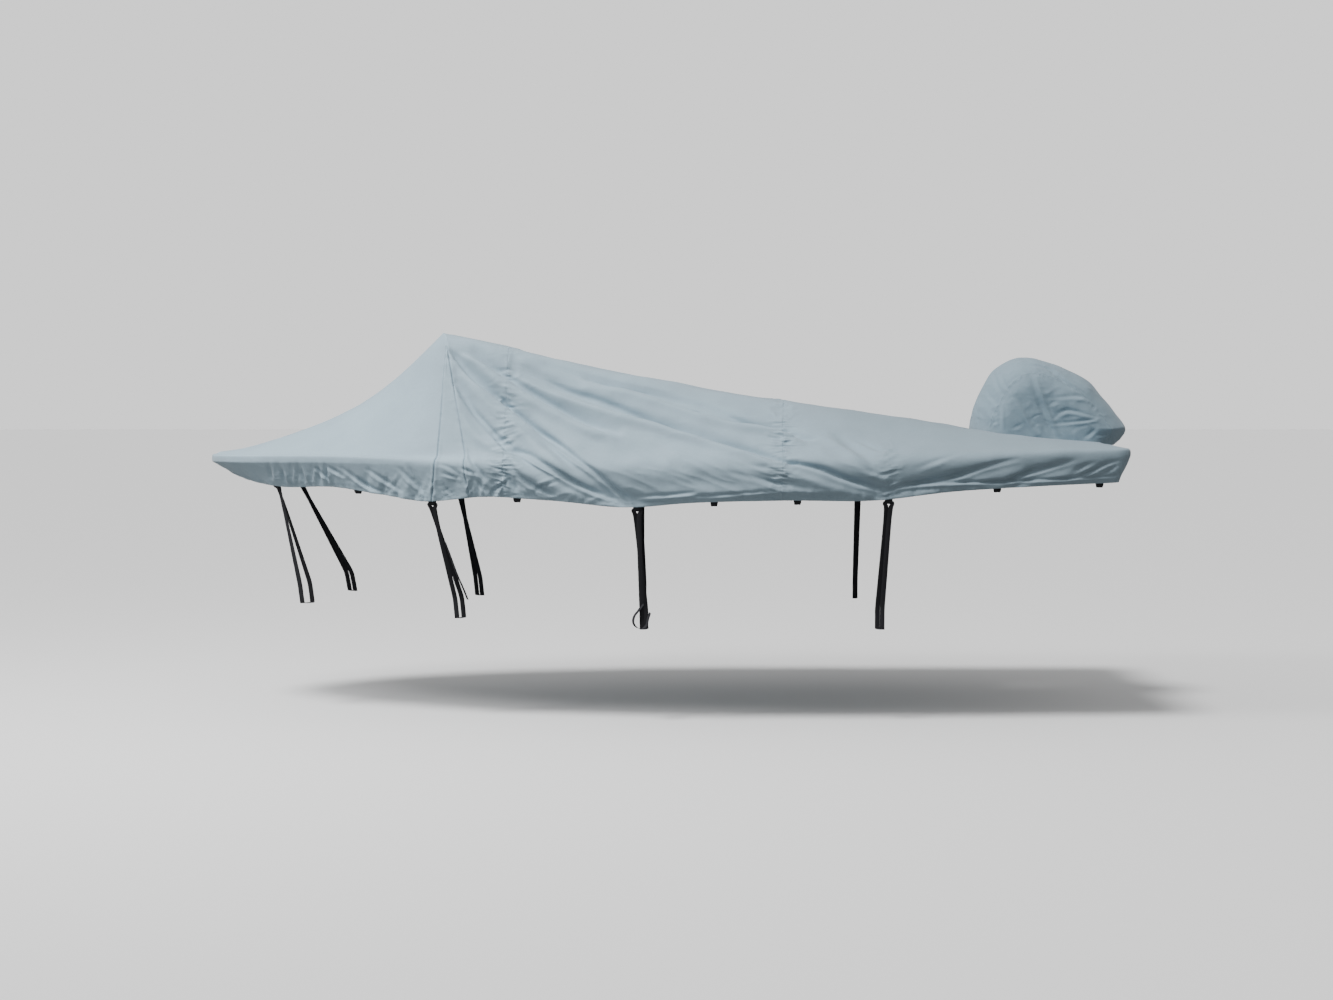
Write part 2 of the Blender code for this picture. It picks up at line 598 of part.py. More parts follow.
def cover_skin():
    """The whole cover's outer face as one sheet, and the panels' names by tag."""
    skin = bmesh.new()
    names = []
    for stretch in STRETCHES:
        points = stretch_points(stretch)
        for side, word in ((PORT, "port"), (STARBOARD, "starboard")):
            name = stretch.panel
            if stretch.first_row:
                name = f"{stretch.panel}_{word}"
            if name not in names:
                names.append(name)
            mirrored = points * np.array([1, side, 1])
            add_grid(skin, mirrored, names.index(name), flip=side == PORT)
    bmesh.ops.remove_doubles(skin, verts=skin.verts, dist=1e-5)
    fold_cloth(skin)
    return skin, names


def build_cover():
    skin, names = cover_skin()
    nodes = []
    for tag, name in enumerate(names):
        nodes.append(add_node(name, cut_panel(skin, tag), CLOTH, CLOTH_ROUGHNESS))
    skin.free()
    return nodes


# ---------------------------------------------------------------- motor hood


def hood_half(points, profile):
    """Half width of the hood at side-view points, from how far in they lie."""
    gap = np.linalg.norm(points[:, None] - profile[None], axis=2).min(axis=1)
    share = np.clip(gap / HOOD_ROUND, 0, 1)
    return HOOD_HALF * np.sqrt(1 - (1 - share) ** 2)


def hood_crown(edge, seam, seam_half):
    """Grid of the centre strip's points, from the profile out to the seam."""

    def drop(y):
        return 1 - np.sqrt(1 - (y / HOOD_HALF) ** 2)

    rows = []
    for turn in np.linspace(0, math.pi / 2, HOOD_CROWN_ROWS + 1):
        y = math.sin(turn) * seam_half
        plan = edge + (seam - edge) * (drop(y) / drop(seam_half))[:, None]
        rows.append(np.column_stack([plan[:, 0], y, plan[:, 1]]))
    return np.array(rows).transpose(1, 0, 2)


def hood_side(profile, seam, seam_half):
    """Grid of a side panel's points, from the seam down to the hem."""
    across = (seam[:, 0] - seam[0, 0]) / (seam[-1, 0] - seam[0, 0])
    even = np.linspace(0, 1, len(seam))
    share = np.clip(0.5 * across + 0.5 * even, 0, 1)
    share[-1] = 1
    hem = seam[0] + share[:, None] * (seam[-1] - seam[0])
    rows = []
    for down in np.linspace(0, 1, HOOD_ROWS + 1):
        plan = seam + down * (hem - seam)
        half = hood_half(plan, profile) if down else seam_half
        rows.append(np.column_stack([plan[:, 0], half, plan[:, 1]]))
    return np.array(rows).transpose(1, 0, 2)


def build_hood():
    fine = smooth_path(HOOD_PROFILE, 400)
    profile = fine[:, :2]
    run = lengths(profile)
    at = np.linspace(0, run[-1], HOOD_COLUMNS + 1)
    places = np.stack([np.interp(at, run, column) for column in fine.T], axis=1)
    edge, seam = places[:, :2], places[:, 2:]
    seam_half = hood_half(seam, profile)
    crown = hood_crown(edge, seam, seam_half)
    sides = hood_side(profile, seam, seam_half)
    skin = bmesh.new()
    for side in (PORT, STARBOARD):
        mirror = np.array([1, side, 1])
        add_grid(skin, crown * mirror, 0, flip=side == PORT)
        add_grid(skin, sides * mirror, 1 if side == PORT else 2, flip=side == PORT)
    bmesh.ops.remove_doubles(skin, verts=skin.verts, dist=1e-5)
    skin.normal_update()
    names = ("hood_gusset", "hood_side_port", "hood_side_starboard")
    for tag, name in enumerate(names):
        add_node(name, cut_panel(skin, tag), DARK_CLOTH, CLOTH_ROUGHNESS)
    skin.free()


# ---------------------------------------------------------------- loops and tie-downs

# A place on the hem: the middle of its outer edge, the directions aft along the hem,
# out from the cloth and down, and how far inside it a loop's middle lies
HemPlace = namedtuple("HemPlace", "point aft out down back")


def hem_place(tree, x, side):
    """Finds the hem near x by looking at the finished cloth from outboard."""

    def touch(at_x, height):
        start = Vector((at_x, side * OUTBOARD, height))
        return tree.ray_cast(start, Vector((0.0, -side, 0.0)), OUTBOARD)[0]

    half = LOOP_WIDTH / 2
    height = follow(EDGES, "hem", x) + LIFT.z + HEM_SEARCH
    while touch(x - half, height - HEM_STEP) and touch(x + half, height - HEM_STEP):
        height -= HEM_STEP
    low = [touch(x - half, height), touch(x + half, height)]
    high = [touch(x - half, height + LOOP_OVERLAP), touch(x + half, height + LOOP_OVERLAP)]
    aft = (low[1] - low[0]).normalized()
    point = (low[0] + low[1]) / 2
    rise = (high[0] + high[1]) / 2 - point
    down = -(rise - rise.dot(aft) * aft).normalized()
    out = (aft.cross(down) * side).normalized()
    deepest = 0.0
    for across in (-half, 0.0, half):
        for share in (0.0, 0.5, 1.0):
            behind = point + across * aft - share * LOOP_OVERLAP * down - HEM_SEARCH * out
            inside = tree.ray_cast(behind, out, HEM_SEARCH)[0]
            if inside:
                deepest = max(deepest, HEM_SEARCH - (inside - behind).length)
    return HemPlace(point, aft, out, down, deepest + LOOP_GAP + LOOP_DEPTH / 2)


def loop_outline(bm, half_depth, half_height, cut):
    """Eight-sided outline of a flattened loop, in the plane across the hem."""
    ring = bmesh.ops.create_circle(bm, segments=8, radius=1.0)["verts"]
    bmesh.ops.rotate(bm, verts=ring, cent=(0, 0, 0), matrix=Matrix.Rotation(math.pi / 8, 3, "Z"))
    for vert in ring:
        x, y = vert.co.x, vert.co.y
        flat = abs(x) > abs(y)
        across = half_depth if flat else half_depth - cut
        upright = half_height - cut if flat else half_height
        vert.co = (0.0, math.copysign(across, x), math.copysign(upright, y))
    return list({edge for vert in ring for edge in vert.link_edges})


def hem_loop(name, place):
    """A short length of webbing folded into a loop behind the hem."""
    bm = bmesh.new()
    height = (LOOP_DROP + LOOP_OVERLAP) / 2
    outer = loop_outline(bm, LOOP_DEPTH / 2, height, LOOP_CORNER)
    inner = loop_outline(bm, LOOP_DEPTH / 2 - WEBBING, height - WEBBING, LOOP_CORNER / 2)
    bmesh.ops.bridge_loops(bm, edges=outer + inner)
    made = bmesh.ops.extrude_face_region(bm, geom=list(bm.faces), use_keep_orig=True)
    for vert in bm.verts:
        vert.co.x = -LOOP_WIDTH / 2
    for vert in made["geom"]:
        if isinstance(vert, bmesh.types.BMVert):
            vert.co.x = LOOP_WIDTH / 2
    centre = place.point - place.back * place.out + (LOOP_DROP - height) * place.down
    for vert in bm.verts:
        x, y, z = vert.co
        vert.co = centre + x * place.aft + y * place.out + z * place.down - LIFT
    return add_node(name, bm, BLACK, WEBBING_ROUGHNESS)


def strand(tie, place, rail, way):
    """Rows of (middle, width direction, width, depth) of one strand, from its loop's
    middle aft (way 1) or forward (way -1) and down towards a point on the rail."""
    drop = LOOP_DROP - WEBBING - STRAP_SEAT - BUNCH_WIDTH / 2
    start = place.point - place.back * place.out + drop * place.down
    ahead = (rail - start).normalized()
    rows = []
    for row in SPREADS:
        middle = start + way * (row.aft * place.aft + row.out * place.out)
        middle += row.down * place.down + row.ahead * ahead
        turn = math.radians(row.turned)
        across = math.cos(turn) * way * place.down - math.sin(turn) * place.aft
        rows.append((middle, across, row.width, row.depth))
    return rows


def strap_path(tie, place):
    """Rows of (middle, width direction, width, depth) round a tie-down, from inside its
    hem loop, down outside the rail, under it and up again inside."""

    def rail(x, outboard, below):
        height = tie.rail_top - below + LIFT.z
        return Vector((x, tie.side * (tie.rail_half + outboard), height))

    clear = RAIL_CLEAR
    inner = -RAIL_WIDTH - clear
    forward = Vector((-1.0, 0.0, 0.0))
    round_rail = [
        rail(tie.outer_x, clear, 0.0),
        rail(tie.outer_x, clear, RAIL_HEIGHT),
        rail(tie.outer_x, 0.0, RAIL_HEIGHT + clear),
        rail(tie.inner_x, -RAIL_WIDTH, RAIL_HEIGHT + clear),
        rail(tie.inner_x, inner, RAIL_HEIGHT),
        rail(tie.inner_x, inner, 0.0),
    ]
    down = strand(tie, place, round_rail[0], 1)
    up = strand(tie, place, round_rail[-1], -1)
    flat = [(middle, forward, STRAP_WIDTH, WEBBING) for middle in round_rail]
    return down + flat + up[:0:-1]


def tie_strap(name, rows):
    """A closed band of webbing through the rows."""
    bm = bmesh.new()
    rings = []
    for k, (middle, across, width, depth) in enumerate(rows):
        before = rows[k - 1][0]
        after = rows[(k + 1) % len(rows)][0]
        forward = ((after - middle).normalized() + (middle - before).normalized()).normalized()
        across = (across - across.dot(forward) * forward).normalized()
        out = forward.cross(across)
        ring = [
            bm.verts.new(middle + a * across * width / 2 + b * out * depth / 2 - LIFT)
            for a, b in ((1, 1), (-1, 1), (-1, -1), (1, -1))
        ]
        rings.append(ring)
    for k, ring in enumerate(rings):
        after = rings[(k + 1) % len(rings)]
        turn = closest_turn(ring, after)
        for j in range(4):
            a, b = j, (j + 1) % 4
            bm.faces.new((ring[a], ring[b], after[(b + turn) % 4], after[(a + turn) % 4]))
    return add_node(name, bm, BLACK, WEBBING_ROUGHNESS)


def closest_turn(ring, after):
    """How far to turn the next section round so that its corners meet this one's."""
    return min(
        range(4),
        key=lambda turn: sum((ring[j].co - after[(j + turn) % 4].co).length for j in range(4)),
    )


def build_fittings(cover):
    """Hem loops and tie-downs, set on the finished cloth."""
    whole = bmesh.new()
    for node in cover:
        whole.from_mesh(node.data)
    tree = BVHTree.FromBMesh(whole)
    whole.free()
    for side, word in ((PORT, "port"), (STARBOARD, "starboard")):
        places = [hem_place(tree, x, side) for x in LOOP_STATIONS]
        for number, place in enumerate(places, start=1):
            hem_loop(f"hem_loop_{word}_{number:02d}", place)
        for tie in TIES:
            if tie.side == side:
                tie_strap(f"tie_strap_{word}_{tie.name}", strap_path(tie, places[tie.loop]))


def main():
    for old in list(bpy.data.objects):
        bpy.data.objects.remove(old)
    cover = build_cover()
    build_fittings(cover)
    build_hood()


main()
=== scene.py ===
"""Trailerable boat cover with its motor hood, hem loops and tie-down straps: cloth with its
folds, webbing and stitching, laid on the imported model. Metres, +Z up, bow towards -X."""

import math
from collections import namedtuple
from functools import lru_cache

import bmesh
import bpy
import numpy as np
from bpy.props import FloatProperty, FloatVectorProperty, PointerProperty
from mathutils import Matrix, Vector
from mathutils.bvhtree import BVHTree


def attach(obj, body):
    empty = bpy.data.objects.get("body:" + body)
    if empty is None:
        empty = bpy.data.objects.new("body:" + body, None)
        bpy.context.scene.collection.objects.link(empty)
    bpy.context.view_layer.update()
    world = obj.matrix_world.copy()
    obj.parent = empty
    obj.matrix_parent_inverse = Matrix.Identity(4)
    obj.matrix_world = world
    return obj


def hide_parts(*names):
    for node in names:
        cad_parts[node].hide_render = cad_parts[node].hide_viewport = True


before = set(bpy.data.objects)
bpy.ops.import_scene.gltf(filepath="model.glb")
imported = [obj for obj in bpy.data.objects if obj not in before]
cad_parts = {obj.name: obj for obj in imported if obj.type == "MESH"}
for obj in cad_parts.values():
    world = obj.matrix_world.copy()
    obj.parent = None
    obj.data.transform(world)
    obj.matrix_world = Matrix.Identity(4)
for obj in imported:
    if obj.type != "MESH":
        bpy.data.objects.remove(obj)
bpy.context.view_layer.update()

bl_info = {
    "name": "Boat Cover",
    "version": (1, 0, 0),
    "blender": (4, 5, 0),
    "location": "3D View > Sidebar > Boat Cover",
    "description": "Sews a fitted boat cover with its motor hood, hem loops and tie-down straps",
    "category": "Object",
}

PORT = -1
STARBOARD = 1
SIDES = ((PORT, "port"), (STARBOARD, "starboard"))


# ---------------------------------------------------------------- the cover's cut
# The same driving dimensions as the solids, with heights above the gunwale datum

PEAK_RISE = 0.685
SHEET = 0.0025
LIFT = np.array([0.0, 0.0, -PEAK_RISE + SHEET])
STEM_X = -1.27
BEAM_X = 1.40
STERN_X = 3.56
HALF_BEAM = 1.03
STERN_HALF = 0.97
BOW_FULLNESS = 1.15
CORNER_RADIUS = 0.10
SCREEN_HALF = 0.58
SCREEN_SWEEP = 0.06
HOOD_HALF = 0.24
HOOD_SEAT = 0.0008
NOTCH_X = 2.80
NOTCH_NOSE = 0.17
NOTCH_END = 0.05
NOTCH_HALF = HOOD_HALF + HOOD_SEAT
TRANSOM_TUCK = 0.085
SHOULDER_SHARE = 0.70
SHOULDER_SOFTNESS = 0.05

# Mesh rows of a rib: centre to shoulder, shoulder to rim, over the rim, skirt
RIB_SEGMENTS = (30, 78, 14, 34)
CURVE_SAMPLES = 80
OUTLINE_SAMPLES = 480
TURN_SAMPLES = 40
SOFTEN_SAMPLES = 500
SOFTEN_FADE = 0.12  # over what length the slack's rounding gives way
SEAM_LAP = 0.0004  # how far two panels lap at their seam
SEAM_COLUMNS = (0.003, 0.008, 0.016)  # extra columns beside a seam

# The hem is turned under: its half thickness, the angles of its mesh rows round the
# turn, and how far up inside it reaches
HEM_HALF = 0.0013
HEM_TURN = (60, 120, 180)
HEM_INSIDE = (0.010, 0.024)
HEM_ROW_COUNT = len(HEM_TURN) + len(HEM_INSIDE)

Section = namedtuple("Section", "x ridge flat crown")
FORE_SECTIONS = (
    Section(-1.27, 0.036, 0.00, 1.0),
    Section(-1.10, 0.061, 0.00, 1.0),
    Section(-0.93, 0.108, 0.00, 1.0),
    Section(-0.77, 0.162, 0.05, 1.0),
    Section(-0.61, 0.225, 0.10, 1.0),
    Section(-0.45, 0.304, 0.18, 0.9),
    Section(-0.31, 0.400, 0.30, 0.7),
    Section(-0.20, 0.489, 0.42, 0.5),
    Section(-0.10, 0.583, 0.56, 0.3),
    Section(0.00, 0.685, 0.68, 0.1),
)
AFT_SECTIONS = (
    Section(0.00, 0.685, 0.68, 0.1),
    Section(0.24, 0.632, 0.64, 0.2),
    Section(0.57, 0.548, 0.56, 0.3),
    Section(1.06, 0.447, 0.48, 0.4),
    Section(1.54, 0.360, 0.42, 0.5),
    Section(2.03, 0.289, 0.40, 0.6),
    Section(2.52, 0.219, 0.40, 0.6),
    Section(3.01, 0.142, 0.45, 0.7),
    Section(3.53, 0.098, 0.50, 0.8),
)

# One row for each station of the edge: the gunwale's sheer, how far in and up the cloth
# turns over it, how far the hem hangs down and tucks in, how square the turn is (2 is an
# ellipse), how the skirt turns in (1 is straight from the gunwale), and how far the
# slack cloth's rounding reaches over the gunwale
Edge = namedtuple("Edge", "x sheer rim_in rim_up hem tuck square fall soft")
EDGES = (
    Edge(-1.27, -0.010, 0.040, 0.040, -0.066, 0.105, 9.0, 1.0, 0.003),
    Edge(-1.08, -0.004, 0.045, 0.040, -0.104, 0.090, 9.0, 1.0, 0.003),
    Edge(-0.88, 0.002, 0.045, 0.040, -0.127, 0.075, 9.0, 1.0, 0.003),
    Edge(-0.54, 0.008, 0.045, 0.040, -0.120, 0.050, 7.0, 1.0, 0.003),
    Edge(-0.25, 0.005, 0.045, 0.040, -0.155, 0.040, 4.5, 1.0, 0.005),
    Edge(0.00, 0.000, 0.045, 0.040, -0.184, 0.035, 2.8, 1.0, 0.014),
    Edge(0.20, 0.000, 0.045, 0.040, -0.160, 0.035, 2.4, 1.1, 0.024),
    Edge(0.60, 0.000, 0.050, 0.040, -0.172, 0.035, 2.0, 1.3, 0.045),
    Edge(1.05, 0.000, 0.065, 0.045, -0.205, 0.040, 2.0, 1.3, 0.055),
    Edge(1.30, 0.002, 0.075, 0.050, -0.185, 0.035, 2.0, 1.3, 0.065),
    Edge(1.80, 0.005, 0.085, 0.050, -0.171, 0.035, 2.0, 1.3, 0.055),
    Edge(2.31, 0.015, 0.080, 0.050, -0.167, 0.035, 2.0, 1.3, 0.050),
    Edge(2.58, 0.025, 0.075, 0.045, -0.133, 0.030, 2.0, 1.3, 0.040),
    Edge(3.07, 0.045, 0.060, 0.040, -0.100, 0.030, 2.6, 1.3, 0.020),
    Edge(3.53, 0.058, 0.050, 0.038, -0.080, 0.030, 5.0, 1.3, 0.008),
)


# ---------------------------------------------------------------- folds

# One row for each crease: its path in side view as (x, height above the datum), its
# half width and depth at its start, middle and end, and the ridge beside it as a share
# of its depth (below the path if positive, above if negative)
Crease = namedtuple("Crease", "side width depth crest path")


def metres(millimetres):
    return tuple(value / 1000 for value in millimetres)


def fold(side, width, depth, crest, *path):
    """A crease given in millimetres."""
    return Crease(side, metres(width), metres(depth), crest, tuple(map(metres, path)))


# The broad folds that the solids have too
BROAD = (
    fold(PORT, (32, 37, 37), (34, 30, 29), 0.65,
         (120, 550), (250, 430), (490, 230), (690, 50), (1020, -180)),
    fold(PORT, (32, 32, 32), (23, 23, 23), 0.65,
         (120, 470), (250, 210), (410, 100), (560, -10), (970, -170)),
    fold(PORT, (34, 34, 34), (34, 34, 34), 0.65,
         (220, 580), (410, 440), (600, 330), (810, 220), (940, 180)),
    fold(PORT, (36, 38, 32), (34, 39, 18), 0.75,
         (410, 500), (720, 370), (1190, 220), (1780, 40), (2310, -120)),
    fold(PORT, (36, 36, 36), (36, 36, 36), 0.65,
         (810, 440), (1090, 370), (1500, 240), (1780, 190), (1910, 140)),
    fold(PORT, (37, 37, 37), (17, 17, 17), 0.65, (2080, 150), (2200, 60), (2310, -30)),
    fold(PORT, (30, 30, 30), (12, 12, 12), 0.65,
         (2350, -120), (2470, -90), (2700, -40), (2960, 20)),
    fold(PORT, (28, 28, 28), (11, 11, 11), 0.65, (2940, -90), (3050, -40), (3220, 10)),
    fold(STARBOARD, (37, 37, 37), (26, 26, 26), 0.65,
         (130, 530), (300, 380), (520, 200), (1000, -170)),
    fold(STARBOARD, (37, 37, 37), (23, 23, 23), 0.65,
         (240, 570), (500, 380), (780, 260), (1020, 180)),
    fold(STARBOARD, (41, 41, 41), (29, 29, 29), 0.75,
         (460, 500), (840, 330), (1400, 160), (2290, -120)),
    fold(STARBOARD, (41, 41, 41), (20, 20, 20), 0.65,
         (950, 400), (1380, 280), (1720, 200), (2020, 120)),
    fold(STARBOARD, (32, 32, 32), (20, 20, 20), 0.65, (2340, -120), (2580, -50), (2880, 30)),
)

# The sharper creases that lie in and between them on the port side
FINE = (
    # fan from the windshield's corner
    fold(PORT, (13, 15, 10), (10, 13, 11), 0.8,
         (90, 578), (210, 442), (360, 329), (520, 203), (670, 101), (820, -13), (1010, -177)),
    fold(PORT, (15, 15, 12), (4, 9, 7), 0.7, (100, 442), (200, 292), (310, 174), (390, 85)),
    fold(PORT, (12, 13, 10), (6, 11, 8), 0.8,
         (380, 85), (480, 70), (600, 0), (750, -88), (930, -162)),
    fold(PORT, (14, 17, 16), (5, 9, 5), 0.7,
         (150, 586), (320, 495), (510, 374), (670, 285), (890, 167)),
    fold(PORT, (16, 19, 18), (4, 9, 7), 0.6,
         (380, 533), (540, 464), (700, 389), (890, 329), (1170, 225), (1360, 156)),
    fold(PORT, (16, 16, 10), (6, 9, 10), 0.7,
         (1360, 156), (1570, 107), (1790, 44), (1940, 3), (2110, -64), (2280, -115)),
    fold(PORT, (20, 24, 20), (7, 15, 9), 0.6,
         (580, 510), (810, 442), (1040, 388), (1170, 365), (1410, 296), (1700, 196), (1950, 138)),
    # beside the gussets, running on to the hem
    fold(PORT, (10, 12, 10), (3, 9, 7), 0.6, (190, 77), (230, -2), (310, -91)),
    fold(PORT, (10, 12, 10), (3, 9, 7), 0.6, (320, 35), (390, -53), (450, -135)),
    fold(PORT, (10, 12, 10), (3, 7, 7), 0.6, (370, 49), (480, -67), (640, -149)),
    fold(PORT, (9, 10, 9), (2, 5, 2), 0.5, (150, -10), (250, -43)),
    fold(PORT, (7, 8, 7), (2, 6, 2), 0.7, (70, -38), (140, -63)),
    fold(PORT, (7, 8, 7), (3, 7, 5), 0.8, (60, -95), (90, -130), (120, -155)),
    fold(PORT, (7, 8, 7), (3, 7, 4), -0.7, (320, -123), (360, -99), (410, -63)),
    fold(PORT, (7, 8, 7), (3, 7, 4), 0.8, (240, -75), (270, -115), (290, -140)),
    fold(PORT, (8, 9, 8), (2, 6, 3), 0.7, (50, 10), (110, -15), (160, -60), (190, -120)),
    fold(PORT, (8, 9, 8), (3, 6, 2), -0.7, (520, -140), (570, -100), (660, -70)),
    # along the middle of the boat, above the hem band
    fold(PORT, (12, 14, 12), (1, 4, 2), 0.6, (1440, -13), (1650, -55), (1790, -93), (2030, -114)),
    fold(PORT, (10, 12, 10), (1, 3, 1), 0.5, (1580, 12), (1780, -17)),
    fold(PORT, (9, 10, 9), (3, 5, 4), 0.9, (1060, -150), (1230, -138), (1340, -128)),
    fold(PORT, (9, 10, 9), (4, 5, 2), 0.9, (1340, -146), (1480, -139), (1750, -116)),
    fold(PORT, (34, 40, 34), (-6, -11, -6), 0.3,
         (1120, -150), (1400, -138), (1800, -124), (2180, -122)),
    fold(PORT, (14, 16, 14), (1, 4, 3), 0.5, (2130, 146), (2210, 114), (2320, 52)),
    fold(PORT, (12, 12, 10), (1, 4, 3), 0.5, (2170, 3), (2290, -47)),
    # rising aft from the last tie-down
    fold(PORT, (12, 14, 12), (1, 4, 1), 0.5, (2450, -11), (2560, 33), (2670, 66)),
    fold(PORT, (10, 14, 12), (7, 7, 3), 0.7,
         (2390, -89), (2530, -72), (2660, -46), (2790, -2), (2960, 41)),
    fold(PORT, (10, 12, 10), (3, 6, 2), 0.7, (2920, -64), (3010, -38), (3140, 1), (3250, 32)),
    fold(PORT, (10, 12, 10), (2, 5, 2), 0.6, (3230, -47), (3290, -3), (3350, 23)),
    fold(PORT, (9, 10, 9), (2, 5, 2), 0.6, (3320, -39), (3390, 5), (3480, 31)),
    fold(PORT, (8, 9, 8), (2, 4, 2), 0.5, (3400, -39), (3480, 14)),
    fold(PORT, (8, 9, 7), (3, 5, 3), 0.9,
         (2300, -125), (2400, -98), (2580, -81), (2880, -73), (3230, -60), (3480, -46)),
    fold(PORT, (10, 12, 10), (2, 6, 3), 0.7,
         (2610, -112), (2810, -86), (2920, -74), (3020, -30), (3080, 6)),
    fold(PORT, (8, 10, 8), (2, 4, 2), 0.7, (3110, -72), (3240, -56), (3330, -26), (3410, 4)),
    # on the skirt under the bow
    fold(PORT, (8, 10, 8), (5, 8, 3), 0.6, (-620, -23), (-540, -90)),
    fold(PORT, (8, 10, 8), (3, 6, 3), 0.6, (-550, -13), (-470, -63)),
    fold(PORT, (9, 11, 9), (3, 10, 5), 0.6, (-470, -20), (-340, -111), (-250, -143)),
    fold(PORT, (9, 11, 9), (3, 6, 3), 0.6, (-330, -26), (-160, -133)),
    fold(PORT, (9, 10, 9), (2, 5, 2), -0.6, (-220, -143), (-160, -57)),
    fold(PORT, (9, 10, 9), (3, 8, 5), 0.6, (-160, -16), (-50, -131)),
    fold(PORT, (9, 10, 9), (3, 6, 5), 0.5, (-120, 2), (-40, -140)),
)
GATHERS = (-0.886, -0.852, -0.805, -0.767, -0.730, -0.693, -0.654, -0.602, -0.556)
GATHER_GAP = 0.004  # how far they end from the hem and from the gunwale
GATHER_LEAN = 0.022
GATHER_DEPTH = 0.009
GATHER_WIDTH = 0.012
GATHER_SPREAD = 0.004

# The other side creases in the same places, a little further along and a little less
MIRRORED_SHIFT = 0.035
MIRRORED_DEPTH = 0.85

FOLD_SAMPLES = 60
CREST_PLACE = 1.8  # where a fold's ridge lies, in widths from its trough
CREST_WIDTH = 0.9
FOLD_REACH = 5.0  # how many widths away a fold is still worked out


# ---------------------------------------------------------------- curves


@lru_cache
def knots(rows, column):
    """A column's places, values and slopes."""
    xs = np.array([row.x for row in rows])
    ys = np.array([getattr(row, column) for row in rows])
    return xs, ys, np.gradient(ys, xs)


def cubic(t, i, values, slopes, step=1):
    """Places between value i and the next, on a curve with the given slopes."""
    start = (1 + 2 * t) * (1 - t) ** 2 * values[i] + t * (1 - t) ** 2 * step * slopes[i]
    end = t * t * (3 - 2 * t) * values[i + 1] + t * t * (t - 1) * step * slopes[i + 1]
    return start + end


def follow(rows, column, x):
    """A column's value at x, on a smooth curve through the rows."""
    xs, ys, slopes = knots(rows, column)
    x = np.clip(x, xs[0], xs[-1])
    i = np.clip(np.searchsorted(xs, x) - 1, 0, len(xs) - 2)
    step = xs[i + 1] - xs[i]
    return cubic((x - xs[i]) / step, i, ys, slopes, step)


def lengths(points):
    """Distance along a polyline at each of its points."""
    steps = np.linalg.norm(np.diff(points, axis=0), axis=1)
    return np.concatenate([[0.0], np.cumsum(steps)])


def along(points, distance):
    """Points at given distances along a polyline."""
    run = lengths(points)
    return np.stack([np.interp(distance, run, axis) for axis in points.T], axis=-1)


def resample(points, count):
    return along(points, np.linspace(0, lengths(points)[-1], count))


def smooth_path(points, count):
    """A smooth curve through the points, at count places."""
    points = np.array(points, float)
    at = np.linspace(0, len(points) - 1, count)
    i = np.minimum(at.astype(int), len(points) - 2)
    return cubic((at - i)[:, None], i, points, np.gradient(points, axis=0))


def unit(v):
    return v / np.linalg.norm(v, axis=-1, keepdims=True)


def ease(low, high, x):
    """Rises smoothly from 0 at low to 1 at high."""
    t = np.clip((x - low) / (high - low), 0, 1)
    return t * t * (3 - 2 * t)


def bell(x):
    """Falls smoothly from 1 at 0 to nearly nothing at 2."""
    return np.exp(-(x**2))


def on_side(points, side):
    """The starboard side's points as they lie on one of the sides."""
    return points * np.array([1, side, 1])


def noise(u, v, seed):
    """Smooth random waves about one unit across, from -1 to 1."""
    turn = np.random.default_rng(seed).uniform(0, 2 * math.pi, (256, 256))
    i, j = np.floor(u).astype(int), np.floor(v).astype(int)
    a, b = u - i, v - j

    def corner(right, up):
        angle = turn[(i + right) % 256, (j + up) % 256]
        return np.cos(angle) * (a - right) + np.sin(angle) * (b - up)

    s = a**3 * (a * (a * 6 - 15) + 10)
    t = b**3 * (b * (b * 6 - 15) + 10)
    low = corner(0, 0) + s * (corner(1, 0) - corner(0, 0))
    high = corner(0, 1) + s * (corner(1, 1) - corner(0, 1))
    return 1.5 * (low + t * (high - low))


def crinkle(u, v, seed):
    """Random sharp ridges about one unit apart, from -1 to 1."""
    return 1 - 3 * np.sqrt(np.abs(noise(u, v, seed)) + 0.01)


# ---------------------------------------------------------------- the boat's outline


def gunwale_outline():
    """Plan points of one side's gunwale, from the stem round the corner to the motor."""
    angle = np.linspace(0, math.pi / 2, OUTLINE_SAMPLES)
    bow = np.stack(
        [
            BEAM_X - (BEAM_X - STEM_X) * np.cos(angle),
            HALF_BEAM * np.sin(angle) ** BOW_FULLNESS,
        ],
        axis=1,
    )
    x = np.linspace(BEAM_X, STERN_X - CORNER_RADIUS, OUTLINE_SAMPLES)[1:]
    taper = ((x - BEAM_X) / (STERN_X - BEAM_X)) ** 2
    side = np.stack([x, HALF_BEAM - (HALF_BEAM - STERN_HALF) * taper], axis=1)
    turn = np.linspace(0, math.pi / 2, CURVE_SAMPLES)[1:]
    corner = side[-1] + CORNER_RADIUS * np.stack([np.sin(turn), np.cos(turn) - 1], axis=1)
    y = np.linspace(corner[-1, 1], NOTCH_HALF, CURVE_SAMPLES)[1:]
    transom = np.stack([np.full_like(y, STERN_X), y], axis=1)
    return np.concatenate([bow, side, corner, transom]), len(bow) + len(side)


OUTLINE, SIDE_COUNT = gunwale_outline()
RUN = lengths(OUTLINE)
FORWARD = unit(np.gradient(OUTLINE, axis=0))
OUTWARD = np.stack([-FORWARD[:, 1], FORWARD[:, 0]], axis=1)
OUTWARD[0] = (-1.0, 0.0)
CORNER_START = RUN[SIDE_COUNT - 1]
CORNER_END = CORNER_START + CORNER_RADIUS * math.pi / 2


def station(x):
    """Distance along the outline at which a side's gunwale reaches x."""
    return np.interp(x, OUTLINE[:SIDE_COUNT, 0], RUN[:SIDE_COUNT])


